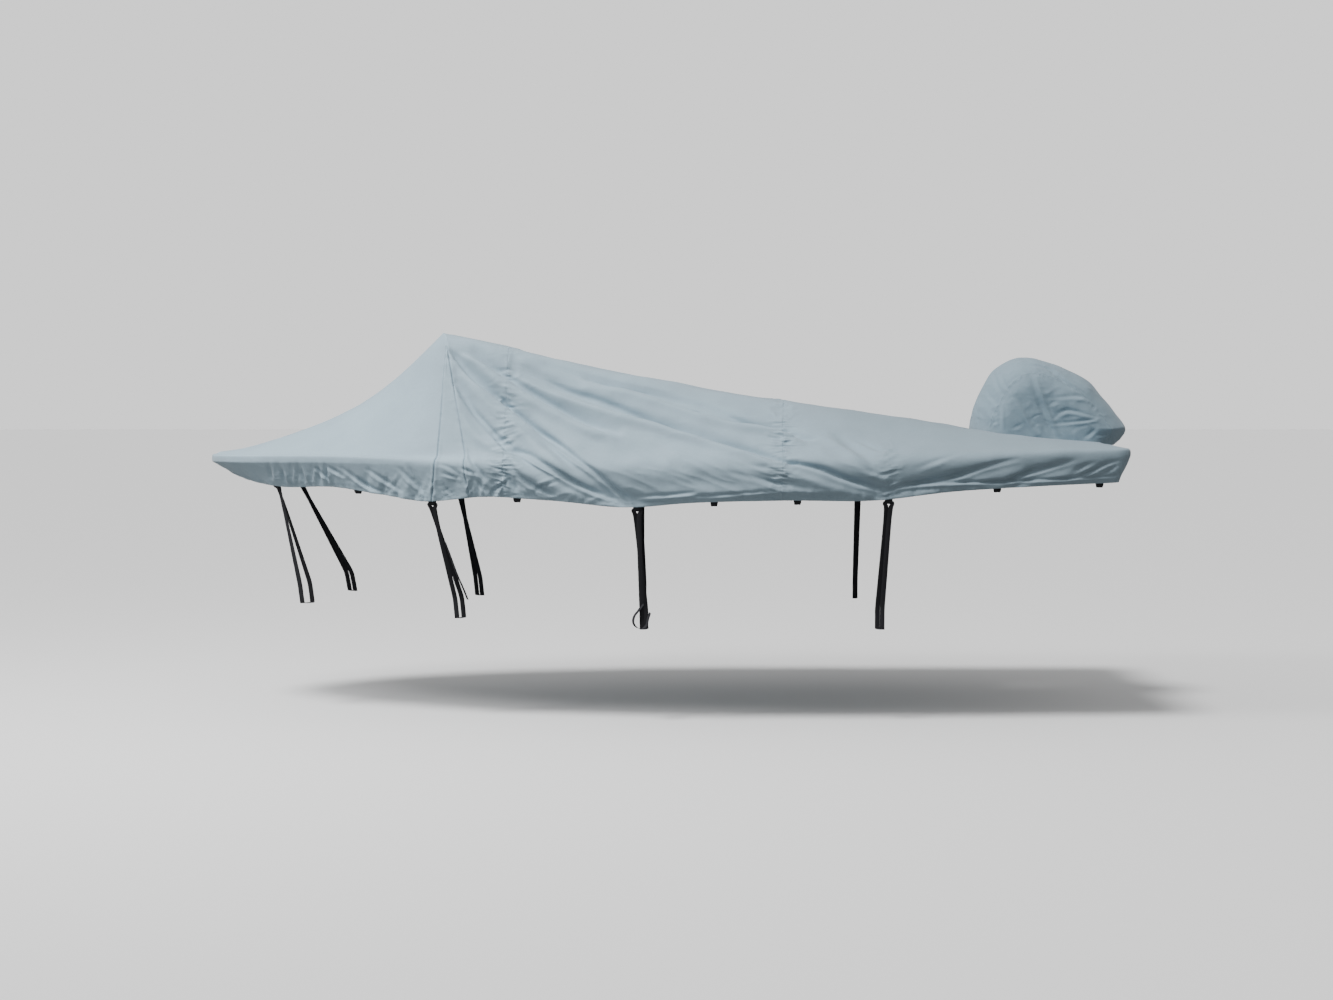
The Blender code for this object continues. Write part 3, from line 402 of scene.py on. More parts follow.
def outline_at(distance):
    """Plan point on the gunwale and its outward direction."""
    point = np.array([np.interp(distance, RUN, OUTLINE[:, k]) for k in (0, 1)])
    outward = unit(np.array([np.interp(distance, RUN, OUTWARD[:, k]) for k in (0, 1)]))
    return point, outward


INNER_EDGE = OUTLINE[:SIDE_COUNT] - (
    follow(EDGES, "rim_in", OUTLINE[:SIDE_COUNT, 0])[:, None] * OUTWARD[:SIDE_COUNT]
)


def inner_half(x):
    """Half width of the top at x, inside the turned rim."""
    return np.maximum(np.interp(x, INNER_EDGE[:, 0], INNER_EDGE[:, 1]), 0.02)


def notch_edge():
    """Plan points of the motor cut-out's edge, from the centreline to the transom."""
    turn = np.linspace(0, math.pi / 2, CURVE_SAMPLES)
    nose = np.stack(
        [NOTCH_X + NOTCH_NOSE * (1 - np.cos(turn)), NOTCH_HALF * np.sin(turn)], axis=1
    )
    x = np.linspace(NOTCH_X + NOTCH_NOSE, STERN_X - NOTCH_END, CURVE_SAMPLES)[1:]
    return np.concatenate([nose, np.stack([x, np.full_like(x, NOTCH_HALF)], axis=1)])


NOTCH = notch_edge()


def inner_at(distance):
    """Plan point on the centreline or, past its start, on the motor cut-out's edge."""
    if distance <= NOTCH_X:
        return np.array([distance, 0.0])
    return along(NOTCH, distance - NOTCH_X)


# ---------------------------------------------------------------- the drawn cloth


def top_height(x, y):
    """Height of the cloth's top above the gunwale datum."""
    across = np.minimum(1, (np.abs(y) / SCREEN_HALF) ** 2)
    at = x - SCREEN_SWEEP * across
    ridge, flat, crown = (
        np.where(at < 0, follow(FORE_SECTIONS, name, at), follow(AFT_SECTIONS, name, at))
        for name in ("ridge", "flat", "crown")
    )
    edge = follow(EDGES, "sheer", x) + follow(EDGES, "rim_up", x)
    share = np.clip(np.abs(y) / inner_half(x), 0, 1)
    past = share - flat + np.hypot(share - flat, SHOULDER_SOFTNESS)
    last = 1 - flat + np.hypot(1 - flat, SHOULDER_SOFTNESS)
    fall = past / last
    shape = (1 - crown) * (1 - fall) + crown * np.cos(fall * math.pi / 2)
    return edge + (ridge - edge) * shape


def rim_point(distance):
    """Plan point where the turned rim begins, inboard of a place on the gunwale."""
    point, outward = outline_at(distance)
    return point - follow(EDGES, "rim_in", point[0]) * outward


def rib(inner, shoulder, distance, slant):
    """The cloth's line from an inner plan point over the gunwale to the hem, as four
    stretches: to the shoulder, to the rim, over the rim and down the skirt."""
    point, outward = outline_at(distance)
    sheer, rim_in, rim_up, hem, tuck, square, fall, _ = (
        follow(EDGES, name, point[0]) for name in Edge._fields[1:]
    )
    tuck = tuck + (TRANSOM_TUCK - tuck) * max(0.0, outward[0]) ** 2

    def over_top(start, end):
        plan = start + np.linspace(0, 1, CURVE_SAMPLES)[:, None] * (end - start)
        return np.column_stack([plan, top_height(plan[:, 0], plan[:, 1])])

    turn = np.linspace(0, math.pi / 2, TURN_SAMPLES)[:, None]
    out = np.clip(np.sin(turn), 0, 1) ** (2 / square)
    up = np.clip(np.cos(turn), 0, 1) ** (2 / square)
    over = point - rim_in * (1 - out) * outward
    over = np.column_stack([over, sheer + rim_up * up])
    down = np.linspace(0, 1, TURN_SAMPLES)[:, None]
    skirt = point - tuck * down**fall * outward + slant * down * np.array([1.0, 0.0])
    skirt = np.column_stack([skirt, sheer + (hem - sheer) * down])
    return over_top(inner, shoulder), over_top(shoulder, rim_point(distance)), over, skirt


def soften(parts, reach):
    """The stretches of a rib as one even line, its turn over the gunwale rounded by the
    cloth's slack, and the distances at which the stretches end."""
    ends = np.cumsum([lengths(part)[-1] for part in parts])
    line = resample(np.concatenate([parts[0]] + [part[1:] for part in parts[1:]]), SOFTEN_SAMPLES)
    step = ends[-1] / (SOFTEN_SAMPLES - 1)
    half = max(2, int(3 * reach / step))
    weights = np.exp(-0.5 * (np.arange(-half, half + 1) * step / reach) ** 2)
    weights = weights / weights.sum()
    before = 2 * line[0] - line[half:0:-1]
    after = 2 * line[-1] - line[-2 : -half - 2 : -1]
    padded = np.concatenate([before, line, after])
    smooth = np.stack([np.convolve(axis, weights, "valid") for axis in padded.T], axis=1)
    gap = np.abs(np.arange(SOFTEN_SAMPLES) * step - (ends[1] + ends[2]) / 2)
    share = 1 - ease(2 * reach, 2 * reach + SOFTEN_FADE, gap)[:, None]
    return line + share * (smooth - line), ends


def turned_hem(skirt, outward):
    """The rows round the hem's lower edge and up inside it."""
    low = skirt[-1]
    down = unit(low - skirt[-4])
    inward = np.array([-outward[0], -outward[1], 0.0])
    inward = unit(inward - inward.dot(down) * down)
    turns = np.radians(HEM_TURN)[:, None]
    round_edge = low + HEM_HALF * ((1 - np.cos(turns)) * inward + np.sin(turns) * down)
    inside = round_edge[-1] - np.array(HEM_INSIDE)[:, None] * down
    return np.concatenate([round_edge, inside])


# A rib is given by its inner place, its shoulder's plan point, its place along the
# gunwale and its skirt's slant.
Rib = namedtuple("Rib", "inner shoulder_x shoulder_y gunwale slant")


def plain_rib(inner, gunwale, slant=0.0):
    """A rib that is straight in plan."""
    start = inner_at(inner)
    shoulder = start + SHOULDER_SHARE * (rim_point(gunwale) - start)
    return Rib(inner, *shoulder, gunwale, slant)


def screen_rib(gunwale, slant):
    """A rib along the windshield's top and down from its corner."""
    return Rib(0.0, SCREEN_SWEEP, SCREEN_HALF, gunwale, slant)


RIBS = {
    "stem": plain_rib(-1.03, 0.0),
    "foredeck": plain_rib(-0.55, station(-0.62)),
    "fore screen seam": screen_rib(station(0.02), slant=-0.027),
    "aft screen seam": screen_rib(station(0.17), slant=0.021),
    "fore cross seam": plain_rib(0.385, station(0.37), slant=-0.007),
    "aft cross seam": plain_rib(1.84, station(1.79), slant=-0.020),
    "aft dart": plain_rib(2.40, station(2.32)),
    "cut-out nose": plain_rib(NOTCH_X, station(2.86)),
    "cut-out side": plain_rib(NOTCH_X + 0.32, station(3.12)),
    "before corner": plain_rib(NOTCH_X + 0.60, CORNER_START),
    "after corner": plain_rib(NOTCH_X + 0.70, CORNER_END),
    "cut-out end": plain_rib(NOTCH_X + lengths(NOTCH)[-1], RUN[-1]),
}

# One row for each stretch of cloth between two ribs
Stretch = namedtuple("Stretch", "start end columns")
SHOULDER_ROW = RIB_SEGMENTS[0]
DART_ROW = sum(RIB_SEGMENTS[:2]) - 12
PANELS = {
    "bow_panel": (
        Stretch("stem", "foredeck", 74),
        Stretch("foredeck", "fore screen seam", 58),
    ),
    "screen_gusset": (Stretch("fore screen seam", "aft screen seam", 10),),
    "screen_panel": (Stretch("aft screen seam", "fore cross seam", 18),),
    "middle_panel": (Stretch("fore cross seam", "aft cross seam", 112),),
    "stern_panel": (
        Stretch("aft cross seam", "cut-out nose", 78),
        Stretch("cut-out nose", "cut-out side", 22),
        Stretch("cut-out side", "before corner", 22),
        Stretch("before corner", "after corner", 10),
        Stretch("after corner", "cut-out end", 14),
    ),
}


def rib_points(at):
    """A rib's mesh points from its inner end to inside its turned hem."""
    shoulder = np.array([at.shoulder_x, at.shoulder_y])
    point, outward = outline_at(at.gunwale)
    parts = rib(inner_at(at.inner), shoulder, at.gunwale, at.slant)
    line, ends = soften(parts, follow(EDGES, "soft", point[0]))
    starts = np.concatenate([[0.0], ends])
    places = [starts[:1]]
    for low, high, count in zip(starts, ends, RIB_SEGMENTS):
        places.append(np.linspace(low, high, count + 1)[1:])
    even = np.linspace(0, ends[-1], SOFTEN_SAMPLES)
    rows = np.stack([np.interp(np.concatenate(places), even, axis) for axis in line.T], axis=1)
    return np.concatenate([rows, turned_hem(rows, outward)])


def stretch_shares(stretch):
    """Where a stretch's ribs lie between its two ends, closer together at a seam."""
    even = np.linspace(0, 1, stretch.columns + 1)
    span = RIBS[stretch.end].gunwale - RIBS[stretch.start].gunwale
    close = np.array(SEAM_COLUMNS) / span
    if stretch.start.endswith("seam"):
        even = np.concatenate([[0.0], close, even[even > close[-1] + 0.3 / stretch.columns]])
    if stretch.end.endswith("seam"):
        kept = even[even < 1 - close[-1] - 0.3 / stretch.columns]
        even = np.concatenate([kept, 1 - close[::-1], [1.0]])
    return even


@lru_cache
def panel_points(panel):
    """Grid of one side's points on a panel, one row for each rib."""
    ribs = []
    for k, stretch in enumerate(PANELS[panel]):
        first = np.array(RIBS[stretch.start])
        last = np.array(RIBS[stretch.end])
        for share in stretch_shares(stretch)[1 if k else 0 :]:
            ribs.append(rib_points(Rib(*(first + share * (last - first)))))
    first_row = SHOULDER_ROW if panel == "screen_gusset" else 0
    return np.array(ribs)[:, first_row:]


def on_cloth(x, height, side):
    """The point of one side's cloth that a side view shows at x and this height."""
    inner = np.array([x, 0.0 if x < NOTCH_X else NOTCH_HALF])
    shoulder = inner + SHOULDER_SHARE * (rim_point(station(x)) - inner)
    line, _ = soften(rib(inner, shoulder, station(x), 0.0), follow(EDGES, "soft", x))
    y = np.interp(-height, -line[:, 2], line[:, 1])
    return np.array([x, side * y, height])


# ---------------------------------------------------------------- folds in the cloth


def near_path(points, normals, line, reach):
    """Of the points within reach of a line: their numbers, the share of the line they
    lie at, how far they lie across it in the cloth, and how far past its ends."""
    low = line.min(axis=0) - reach
    high = line.max(axis=0) + reach
    near = np.flatnonzero(((points > low) & (points < high)).all(axis=1))
    gaps = points[near, None] - line[None]
    nearest = np.einsum("ijk,ijk->ij", gaps, gaps).argmin(axis=1)
    tangent = unit(np.gradient(line, axis=0))[nearest]
    step = points[near] - line[nearest]
    ahead = np.einsum("ij,ij->i", step, tangent)
    away = step - ahead[:, None] * tangent
    across = np.einsum("ij,ij->i", away, np.cross(normals[near], tangent))
    distance = np.copysign(np.linalg.norm(away, axis=1), across)
    last = len(line) - 1
    past = np.where(nearest == 0, -ahead, np.where(nearest == last, ahead, 0.0))
    spacing = lengths(line)[-1] / last
    share = np.clip((nearest + ahead / spacing) / last, 0, 1)
    return near, share, distance, np.maximum(past, 0.0)


def fold_offsets(points, normals, creases, place):
    """How far each crease moves each point along its normal. place puts a crease's
    side-view path on the surface."""
    total = np.zeros(len(points))
    for crease in creases:
        path = smooth_path(crease.path, FOLD_SAMPLES)
        line = np.array([place(x, height, crease.side) for x, height in path])
        reach = max(crease.width) * FOLD_REACH
        near, share, distance, past = near_path(points, normals, line, reach)
        width = np.interp(share, (0, 0.5, 1), crease.width)
        depth = np.interp(share, (0, 0.5, 1), crease.depth)
        signed = crease.side * distance / width
        beside = (signed - math.copysign(CREST_PLACE, crease.crest)) / CREST_WIDTH
        taper = np.sqrt(np.clip(np.sin(math.pi * (0.06 + 0.88 * share)), 0, 1))
        shape = -bell(signed) + abs(crease.crest) * bell(beside)
        total[near] += depth * taper * bell(past / width) * shape
    return total


def mirrored(creases):
    """The port side's creases as they fall on the starboard side."""
    for crease in creases:
        path = tuple((x + MIRRORED_SHIFT * math.sin(5 * x), height) for x, height in crease.path)
        depth = tuple(MIRRORED_DEPTH * d for d in crease.depth)
        yield crease._replace(side=STARBOARD, path=path, depth=depth)


def gather_creases():
    """Short upright creases where the drawn hem gathers the skirt under the bow."""
    for k, x in enumerate(GATHERS):
        low = follow(EDGES, "hem", x)
        lean = GATHER_LEAN * math.sin(2.3 * k)
        path = ((x, low + GATHER_GAP), (x + lean / 2, low / 2), (x + lean, GATHER_GAP))
        depth = GATHER_DEPTH + GATHER_SPREAD * math.sin(4.1 * k)
        width = GATHER_WIDTH + GATHER_SPREAD * math.sin(3.7 * k + 1)
        yield Crease(PORT, (width, width, 0.008), (depth, depth, 0.002), 0.7, path)


def fine_creases():
    port = FINE + tuple(gather_creases())
    return port + tuple(mirrored(port))


def seam_line(seam, side):
    """A seam's points on one side, down to the hem's edge."""
    return on_side(rib_points(RIBS[seam.rib])[seam.first_row : -HEM_ROW_COUNT], side)


def seam_offsets(points, normals):
    """The welt along each seam and the puckers that its stitching draws up."""
    total = np.zeros(len(points))
    for k, seam in enumerate(SEAMS):
        for side, _ in SIDES:
            line = seam_line(seam, side)
            near, share, distance, past = near_path(points, normals, line, seam.reach * 2)
            run = share * lengths(line)[-1]
            fade = np.exp(-((distance / seam.reach) ** 2) - (past / 0.01) ** 2)
            lean = run + 0.35 * distance * np.sin(9 * run)
            across = distance / (seam.reach * 1.6)
            ripple = 0.5 * crinkle(lean / seam.pitch, across, 10 * k + 5 + side)
            ripple += 0.9 * noise(1.3 * lean / seam.pitch, across, 10 * k + 7 + side)
            uneven = 0.6 + 0.4 * ease(-0.3, 0.5, noise(run / 0.25, run * 0, 50 + k))
            welt = bell((np.abs(distance) - WELT_PLACE) / WELT_WIDTH)
            welt = seam.welt * (welt - 0.7 * bell(distance / GROOVE_WIDTH))
            total[near] += (seam.depth * uneven * ripple + welt) * fade
    return total


# One row for each seam: the rib row it starts at, how deep its puckers are, how far apart
# and how far they reach, and how high its welt is
Seam = namedtuple("Seam", "rib first_row depth pitch reach welt")
SEAMS = (
    Seam("fore screen seam", SHOULDER_ROW, 0.0010, 0.045, 0.020, 0.0026),
    Seam("aft screen seam", SHOULDER_ROW, 0.0012, 0.045, 0.025, 0.0022),
    Seam("fore cross seam", 0, 0.0050, 0.034, 0.060, 0.0004),
    Seam("aft cross seam", 0, 0.0052, 0.032, 0.060, 0.0004),
    Seam("aft dart", DART_ROW, 0.0048, 0.028, 0.050, 0.0003),
)

# One row for each station of the hem: how deep the gathers along it are, how far apart
# and how far up the skirt they reach
Ruffle = namedtuple("Ruffle", "x depth pitch reach")
RUFFLES = (
    Ruffle(-1.27, 0.0024, 0.050, 0.06),
    Ruffle(-0.90, 0.0030, 0.045, 0.08),
    Ruffle(-0.50, 0.0036, 0.045, 0.09),
    Ruffle(0.00, 0.0052, 0.038, 0.11),
    Ruffle(0.45, 0.0062, 0.038, 0.10),
    Ruffle(1.05, 0.0036, 0.050, 0.05),
    Ruffle(1.80, 0.0030, 0.050, 0.05),
    Ruffle(2.31, 0.0036, 0.045, 0.05),
    Ruffle(3.53, 0.0024, 0.050, 0.04),
)
LOOP_STATIONS = (-0.87, -0.40, 0.00, 0.44, 1.05, 1.44, 1.86, 2.32, 2.87, 3.39)
CALM_RUMPLE = 0.12  # how crumpled the cloth is away from seams and hem
LOOP_CALM = 0.035  # how far from a loop the hem lies flat
WELT_PLACE = 0.008  # how far from its seam a welt is highest
WELT_WIDTH = 0.005
GROOVE_WIDTH = 0.003
SEAM_RUMPLE = 200  # how crumpled a seam's cloth is for each metre of its puckers' depth
HEM_RUMPLE = 90
NEAR_SEAM = 0.35  # how far fore and aft of a seam its cloth may be crumpled
SEAM_STEP = 3
OUTLINE_STEP = 8
BLOCK = 20000  # how many points are worked on at a time

# The windshield's corner that fine streaks fan from, and how deep they, the slow waves,
# the smaller waves and the crinkles are
FAN_X = 0.04
FAN_HEIGHT = 0.66
STREAK_DEPTH = 0.0025
SLACK_DEPTH = 0.003
RIPPLE_DEPTH = 0.0018
CRINKLE_DEPTH = 0.0013


def hem_offsets(points, run, up):
    """Gathers along the drawn hem, given each point's place along it and above it."""
    x = points[:, 0]
    depth, pitch, reach = (follow(RUFFLES, name, x) for name in Ruffle._fields[1:])
    side = np.where(points[:, 1] < 0, 0.0, 40.0)
    lean = run + 0.5 * up * np.sin(run * 3 + side)
    warp = 0.5 * noise(run / 0.3, side, 5)
    ripple = crinkle(lean / pitch + warp, up / 0.16 + side, 7)
    swell = noise(lean / (2.2 * pitch), up / 0.3 + side, 8)
    calm = np.ones(len(points))
    for place in LOOP_STATIONS:
        near = np.abs(run - station(place)) / LOOP_CALM
        calm *= 1 - np.exp(-(near**2) - (up / 0.04) ** 2)
    return depth * (0.6 * ripple + 1.2 * swell) * bell(up / reach) * calm


def slack_offsets(points, up):
    """Slow waves where the cloth is slack, and fine streaks fanning from the windshield."""
    x, y, z = points.T
    side = np.where(y < 0, 0.0, 30.0)
    fan = np.arctan2(FAN_HEIGHT - z, x - FAN_X)
    away = np.hypot(x - FAN_X, z - FAN_HEIGHT)
    aft = ease(0.06, 0.35, x) * (1 - ease(1.4, 2.2, x))
    streak = noise(fan * 9, away * 1.2 + side, 21) + 0.6 * noise(fan * 19, away * 2 + side, 22)
    streak = STREAK_DEPTH * streak * aft * ease(0.2, 0.6, away) * ease(0.05, 0.3, np.abs(y))
    slow = SLACK_DEPTH * noise(x / 0.35, z / 0.16 + side, 23)
    slow = slow + RIPPLE_DEPTH * noise(x / 0.12, z / 0.07 + side, 24)
    slow *= 0.35 + 0.65 * ease(0.0, 0.5, x)
    low = ease(0.7, 1.1, x) * (1 - ease(2.1, 2.5, x)) * (1 - ease(0.06, 0.22, z))
    slow += CRINKLE_DEPTH * low * crinkle(x / 0.22 + side, (z + 0.35 * x) / 0.06, 25)
    return streak + slow * ease(0.0, 0.12, np.abs(y)) * ease(0.0, 0.03, up)


# ---------------------------------------------------------------- meshes and materials


def lay_grid(bm, points, cut, layer, tag, flip):
    """A grid of faces laid on the points, with each point's place in the cut cloth."""
    columns, rows = points.shape[0] - 1, points.shape[1] - 1
    made = bmesh.ops.create_grid(bm, x_segments=columns, y_segments=rows, size=0.5)
    for vert in made["verts"]:
        i = round((vert.co.x + 0.5) * columns)
        j = round((vert.co.y + 0.5) * rows)
        vert.co = points[i, j]
        vert[layer] = cut[i, j]
    faces = list({face for vert in made["verts"] for face in vert.link_faces})
    for face in faces:
        face.material_index = tag
        face.smooth = True
    if flip:
        bmesh.ops.reverse_faces(bm, faces=faces)


def cut_places(points):
    """Each grid point's place in the flat cloth, in metres from the panel's first rib
    and from its hem."""
    over = np.linalg.norm(np.diff(points, axis=0), axis=2)
    down = np.linalg.norm(np.diff(points, axis=1), axis=2)
    u = np.concatenate([np.zeros((1, points.shape[1])), np.cumsum(over, axis=0)])
    v = np.concatenate([np.zeros((points.shape[0], 1)), np.cumsum(down, axis=1)], axis=1)
    return np.stack([u, v, np.zeros_like(u)], axis=2)


def add_piece(name, bm, material, nodes, slot):
    """Makes a finished mesh an object that rides on the row's body and stands for the
    solids of its nodes."""
    mesh = bpy.data.meshes.new(name)
    bm.to_mesh(mesh)
    bm.free()
    mesh.materials.append(material)
    piece = bpy.data.objects.new(name, mesh)
    bpy.context.scene.collection.objects.link(piece)
    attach(piece, "root")
    if nodes:
        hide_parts(*nodes)
    return piece


def thicken(piece, thickness):
    solidify = piece.modifiers.new("Thickness", "SOLIDIFY")
    solidify.thickness = thickness
    solidify.offset = -1
    solidify.use_rim = True


WELD = 1e-5
WHOLE = (0.0, 1.0)
WAVE_TURNS = 0.314  # a wave texture's scale for one wave a metre
PAINTED_SHADE_PLACES = (0.9, 2.7)  # where the painted shade that darkens the cloth towards the stern begins and ends
THREAD_HEIGHT = 0.0004
THREAD_WANDER = 0.6
SLUB_HEIGHT = 0.0015
WEBBING_SHINE = 0.12
DUST_TONE = 2.2  # how bright the webbing is where dust lies on it

# The scale, detail and roughness of each kind of unevenness
BLOTCHES = (2.6, 4.0, 0.6)
FLECKS = (90.0, 3.0, 0.7)
SLUBS = (45.0, 4.0, 0.55)
CRUMPLES = (15.0, 2.5, 0.5)
DUST = (25.0, 5.0, 0.65)
BLOTCH_SHADES = (0.94, 1.05)  # from the darkest to the lightest
FLECK_SHADES = (0.93, 1.07)


def node(tree, kind, **values):
    """A shader node with some of its settings and inputs given by name, or an input by
    its number. An input that is given another node's output is linked to it."""
    made = tree.nodes.new("ShaderNode" + kind)
    for name, value in values.items():
        if hasattr(made, name):
            setattr(made, name, value)
            continue
        number = name.removeprefix("input_")
        socket = made.inputs[int(number) if number.isdigit() else name.replace("_", " ")]
        if isinstance(value, bpy.types.NodeSocket):
            tree.links.new(value, socket)
        else:
            socket.default_value = value
    return made


def product(tree, one, other):
    made = node(tree, "Math", operation="MULTIPLY", input_0=one, input_1=other)
    return made.outputs["Value"]


def ramp(tree, value, given, made, **settings):
    """A value's range stretched to another one."""
    ends = {"From_Min": given[0], "From_Max": given[1], "To_Min": made[0], "To_Max": made[1]}
    return node(tree, "MapRange", Value=value, **ends, **settings).outputs["Result"]


def mottle(tree, place, look, **settings):
    values = dict(zip(("Scale", "Detail", "Roughness"), look))
    return node(tree, "TexNoise", Vector=place, **values, **settings).outputs["Fac"]


def threads(tree, axis, pitch, distortion=0.0):
    """Threads side by side along one axis of the flat cloth."""
    flat = node(tree, "Attribute", attribute_name="cut").outputs["Vector"]
    values = {"Scale": WAVE_TURNS / pitch, "Distortion": distortion, "Vector": flat}
    wave = node(tree, "TexWave", wave_type="BANDS", bands_direction=axis, **values)
    return wave.outputs["Fac"]


def relief(tree, height, strength, distance, **under):
    made = node(tree, "Bump", Height=height, Strength=strength, Distance=distance, **under)
    return made.outputs["Normal"]


def new_material(name, roughness, sheen, specular=0.35):
    material = bpy.data.materials.new(name)
    material.use_nodes = True
    shader = material.node_tree.nodes["Principled BSDF"]
    shader.inputs["Roughness"].default_value = roughness
    shader.inputs["Sheen Weight"].default_value = sheen
    shader.inputs["Sheen Roughness"].default_value = 0.5
    shader.inputs["Specular IOR Level"].default_value = specular
    return material, material.node_tree, shader


def cloth_material(name, colour, settings):
    """Coated plain-weave polyester: mottled, with painted shade that darkens it from the bow
    towards the stern, and with its threads as bump.
    """
    material, tree, shader = new_material(name, settings.roughness, settings.sheen)
    place = node(tree, "TexCoord").outputs["Object"]
    shade = ramp(tree, mottle(tree, place, BLOTCHES), (0.3, 0.7), BLOTCH_SHADES)
    fleck = ramp(tree, mottle(tree, place, FLECKS), WHOLE, FLECK_SHADES)
    # painted shade: lightest at the bow, darkened towards the stern
    aft = node(tree, "SeparateXYZ", input_0=place).outputs["X"]
    fade = ramp(tree, aft, PAINTED_SHADE_PLACES, (1.0, settings.fade), interpolation_type="SMOOTHSTEP")
    painted_light = product(tree, product(tree, shade, fleck), fade)
    mixed = {"Factor": 1.0, "input_6": (*colour, 1.0), "input_7": painted_light}
    tint = node(tree, "Mix", data_type="RGBA", blend_type="MULTIPLY", **mixed)
    tree.links.new(tint.outputs[2], shader.inputs["Base Color"])
    # threads over and under each other
    pitch = settings.weave_pitch
    over, under = (threads(tree, axis, pitch, THREAD_WANDER) for axis in ("X", "Y"))
    weave = product(tree, over, under)
    woven = relief(tree, weave, 0.35, THREAD_HEIGHT)
    uneven = relief(tree, mottle(tree, place, SLUBS), 0.5, SLUB_HEIGHT, Normal=woven)
    # crumpled where the mesh says so
    amount = node(tree, "Attribute", attribute_name="rumple").outputs["Fac"]
    leaning = {"Scale": (1.0, 1.0, 1.5), "Rotation": (0.0, 0.5, 0.0)}
    stretch = node(tree, "Mapping", Vector=place, **leaning).outputs["Vector"]
    creased = {"noise_type": "RIDGED_MULTIFRACTAL", "Distortion": 0.4}
    ridges = mottle(tree, stretch, CRUMPLES, **creased)
    crumpled = relief(tree, product(tree, ridges, amount), 1.0, settings.crumple, Normal=uneven)
    tree.links.new(crumpled, shader.inputs["Normal"])
    return material


def webbing_material(settings):
    """Woven webbing: ribs along its length, crossed by its weft, and dust on it."""
    material, tree, shader = new_material("webbing", settings.roughness, 0.03, WEBBING_SHINE)
    ribs = threads(tree, "Y", settings.rib_pitch)
    weft = threads(tree, "X", settings.rib_pitch / 2)
    both = node(tree, "Math", operation="ADD", input_0=ribs, input_1=weft).outputs["Value"]
    tree.links.new(relief(tree, both, 0.5, THREAD_HEIGHT), shader.inputs["Normal"])
    place = node(tree, "TexCoord").outputs["Object"]
    dust = ramp(tree, mottle(tree, place, DUST), (0.35, 0.75), WHOLE)
    colour = np.array(settings.colour)
    tones = {"input_6": (*colour, 1.0), "input_7": (*(DUST_TONE * colour), 1.0)}
    tint = node(tree, "Mix", data_type="RGBA", Factor=dust, **tones)
    tree.links.new(tint.outputs[2], shader.inputs["Base Color"])
    return material


# ---------------------------------------------------------------- motor hood

# The hood's profile along the centreline, from the front hem over the top, and beside
# each place the seam where the side panels begin
Corner = namedtuple("Corner", "x height seam_x seam_height")
HOOD_PROFILE = (
    Corner(2.838, 0.010, 2.915, 0.014),
    Corner(2.842, 0.120, 2.925, 0.120),
    Corner(2.862, 0.250, 2.948, 0.232),
    Corner(2.895, 0.345, 2.982, 0.305),
    Corner(2.948, 0.442, 3.020, 0.378),
    Corner(3.010, 0.508, 3.062, 0.428),
    Corner(3.095, 0.548, 3.118, 0.458),
    Corner(3.187, 0.550, 3.185, 0.464),
    Corner(3.285, 0.523, 3.252, 0.446),
    Corner(3.375, 0.482, 3.330, 0.412),
    Corner(3.455, 0.445, 3.400, 0.374),
    Corner(3.519, 0.395, 3.452, 0.330),
    Corner(3.600, 0.295, 3.515, 0.255),
    Corner(3.672, 0.205, 3.568, 0.190),
    Corner(3.690, 0.160, 3.582, 0.150),
    Corner(3.668, 0.115, 3.575, 0.112),
    Corner(3.628, 0.083, 3.556, 0.078),
)
HOOD_ROUND = 0.180
HOOD_COLUMNS = 150
HOOD_ROWS = 56
HOOD_CROWN_ROWS = 40
HOOD_SAMPLES = 400
HOOD_CREASE_DEPTH = 0.5
HOOD_RUMPLE = 0.5
HOOD_SLACK = 0.0028
HOOD_RIPPLE = 0.0012
HOOD_PUCKER = 0.0010
HOOD_WELT = 0.0006

HOOD_CREASES = (
    fold(PORT, (10, 11, 10), (2, 6, 3), 0.6, (2988, 493), (3009, 416), (3038, 353)),
    fold(PORT, (10, 11, 10), (2, 5, 2), 0.6, (2967, 479), (2975, 409), (2989, 353)),
    fold(PORT, (8, 10, 8), (1, 4, 2), 0.6, (2919, 388), (2940, 340), (2968, 305)),
    fold(PORT, (10, 11, 10), (2, 5, 3), -0.7, (2878, 284), (2879, 165)),
    fold(PORT, (10, 11, 10), (2, 6, 3), -0.7, (2975, 326), (2983, 158)),
    fold(PORT, (13, 14, 11), (3, 8, 6), -0.9,
         (3149, 451), (3163, 388), (3192, 305), (3263, 144), (3291, 102)),
    fold(PORT, (11, 14, 11), (2, 7, 4), 0.7, (3052, 353), (3108, 291), (3179, 172), (3221, 116)),
    fold(PORT, (11, 16, 11), (3, 8, 4), -0.7, (3092, 517), (3239, 493), (3331, 416), (3429, 360)),
    fold(PORT, (8, 11, 8), (2, 6, 2), 0.7, (3234, 333), (3401, 347), (3485, 319)),
    fold(PORT, (8, 10, 8), (2, 5, 2), 0.6, (3234, 298), (3289, 319)),
    fold(PORT, (10, 11, 8), (3, 8, 3), 0.8, (3262, 228), (3311, 263), (3360, 270), (3500, 235)),
    fold(PORT, (7, 8, 7), (3, 7, 4), 0.7, (3249, 196), (3416, 214), (3493, 224)),
    fold(PORT, (10, 11, 10), (2, 6, 3), 0.6, (3396, 99), (3452, 137), (3493, 172)),
    fold(PORT, (8, 10, 8), (2, 4, 2), 0.6, (3494, 137), (3578, 144)),
    fold(PORT, (8, 10, 8), (1, 4, 1), 0.5, (2934, 200), (2976, 214)),
    fold(PORT, (8, 10, 8), (1, 4, 1), 0.5, (3039, 172), (3109, 200)),
)


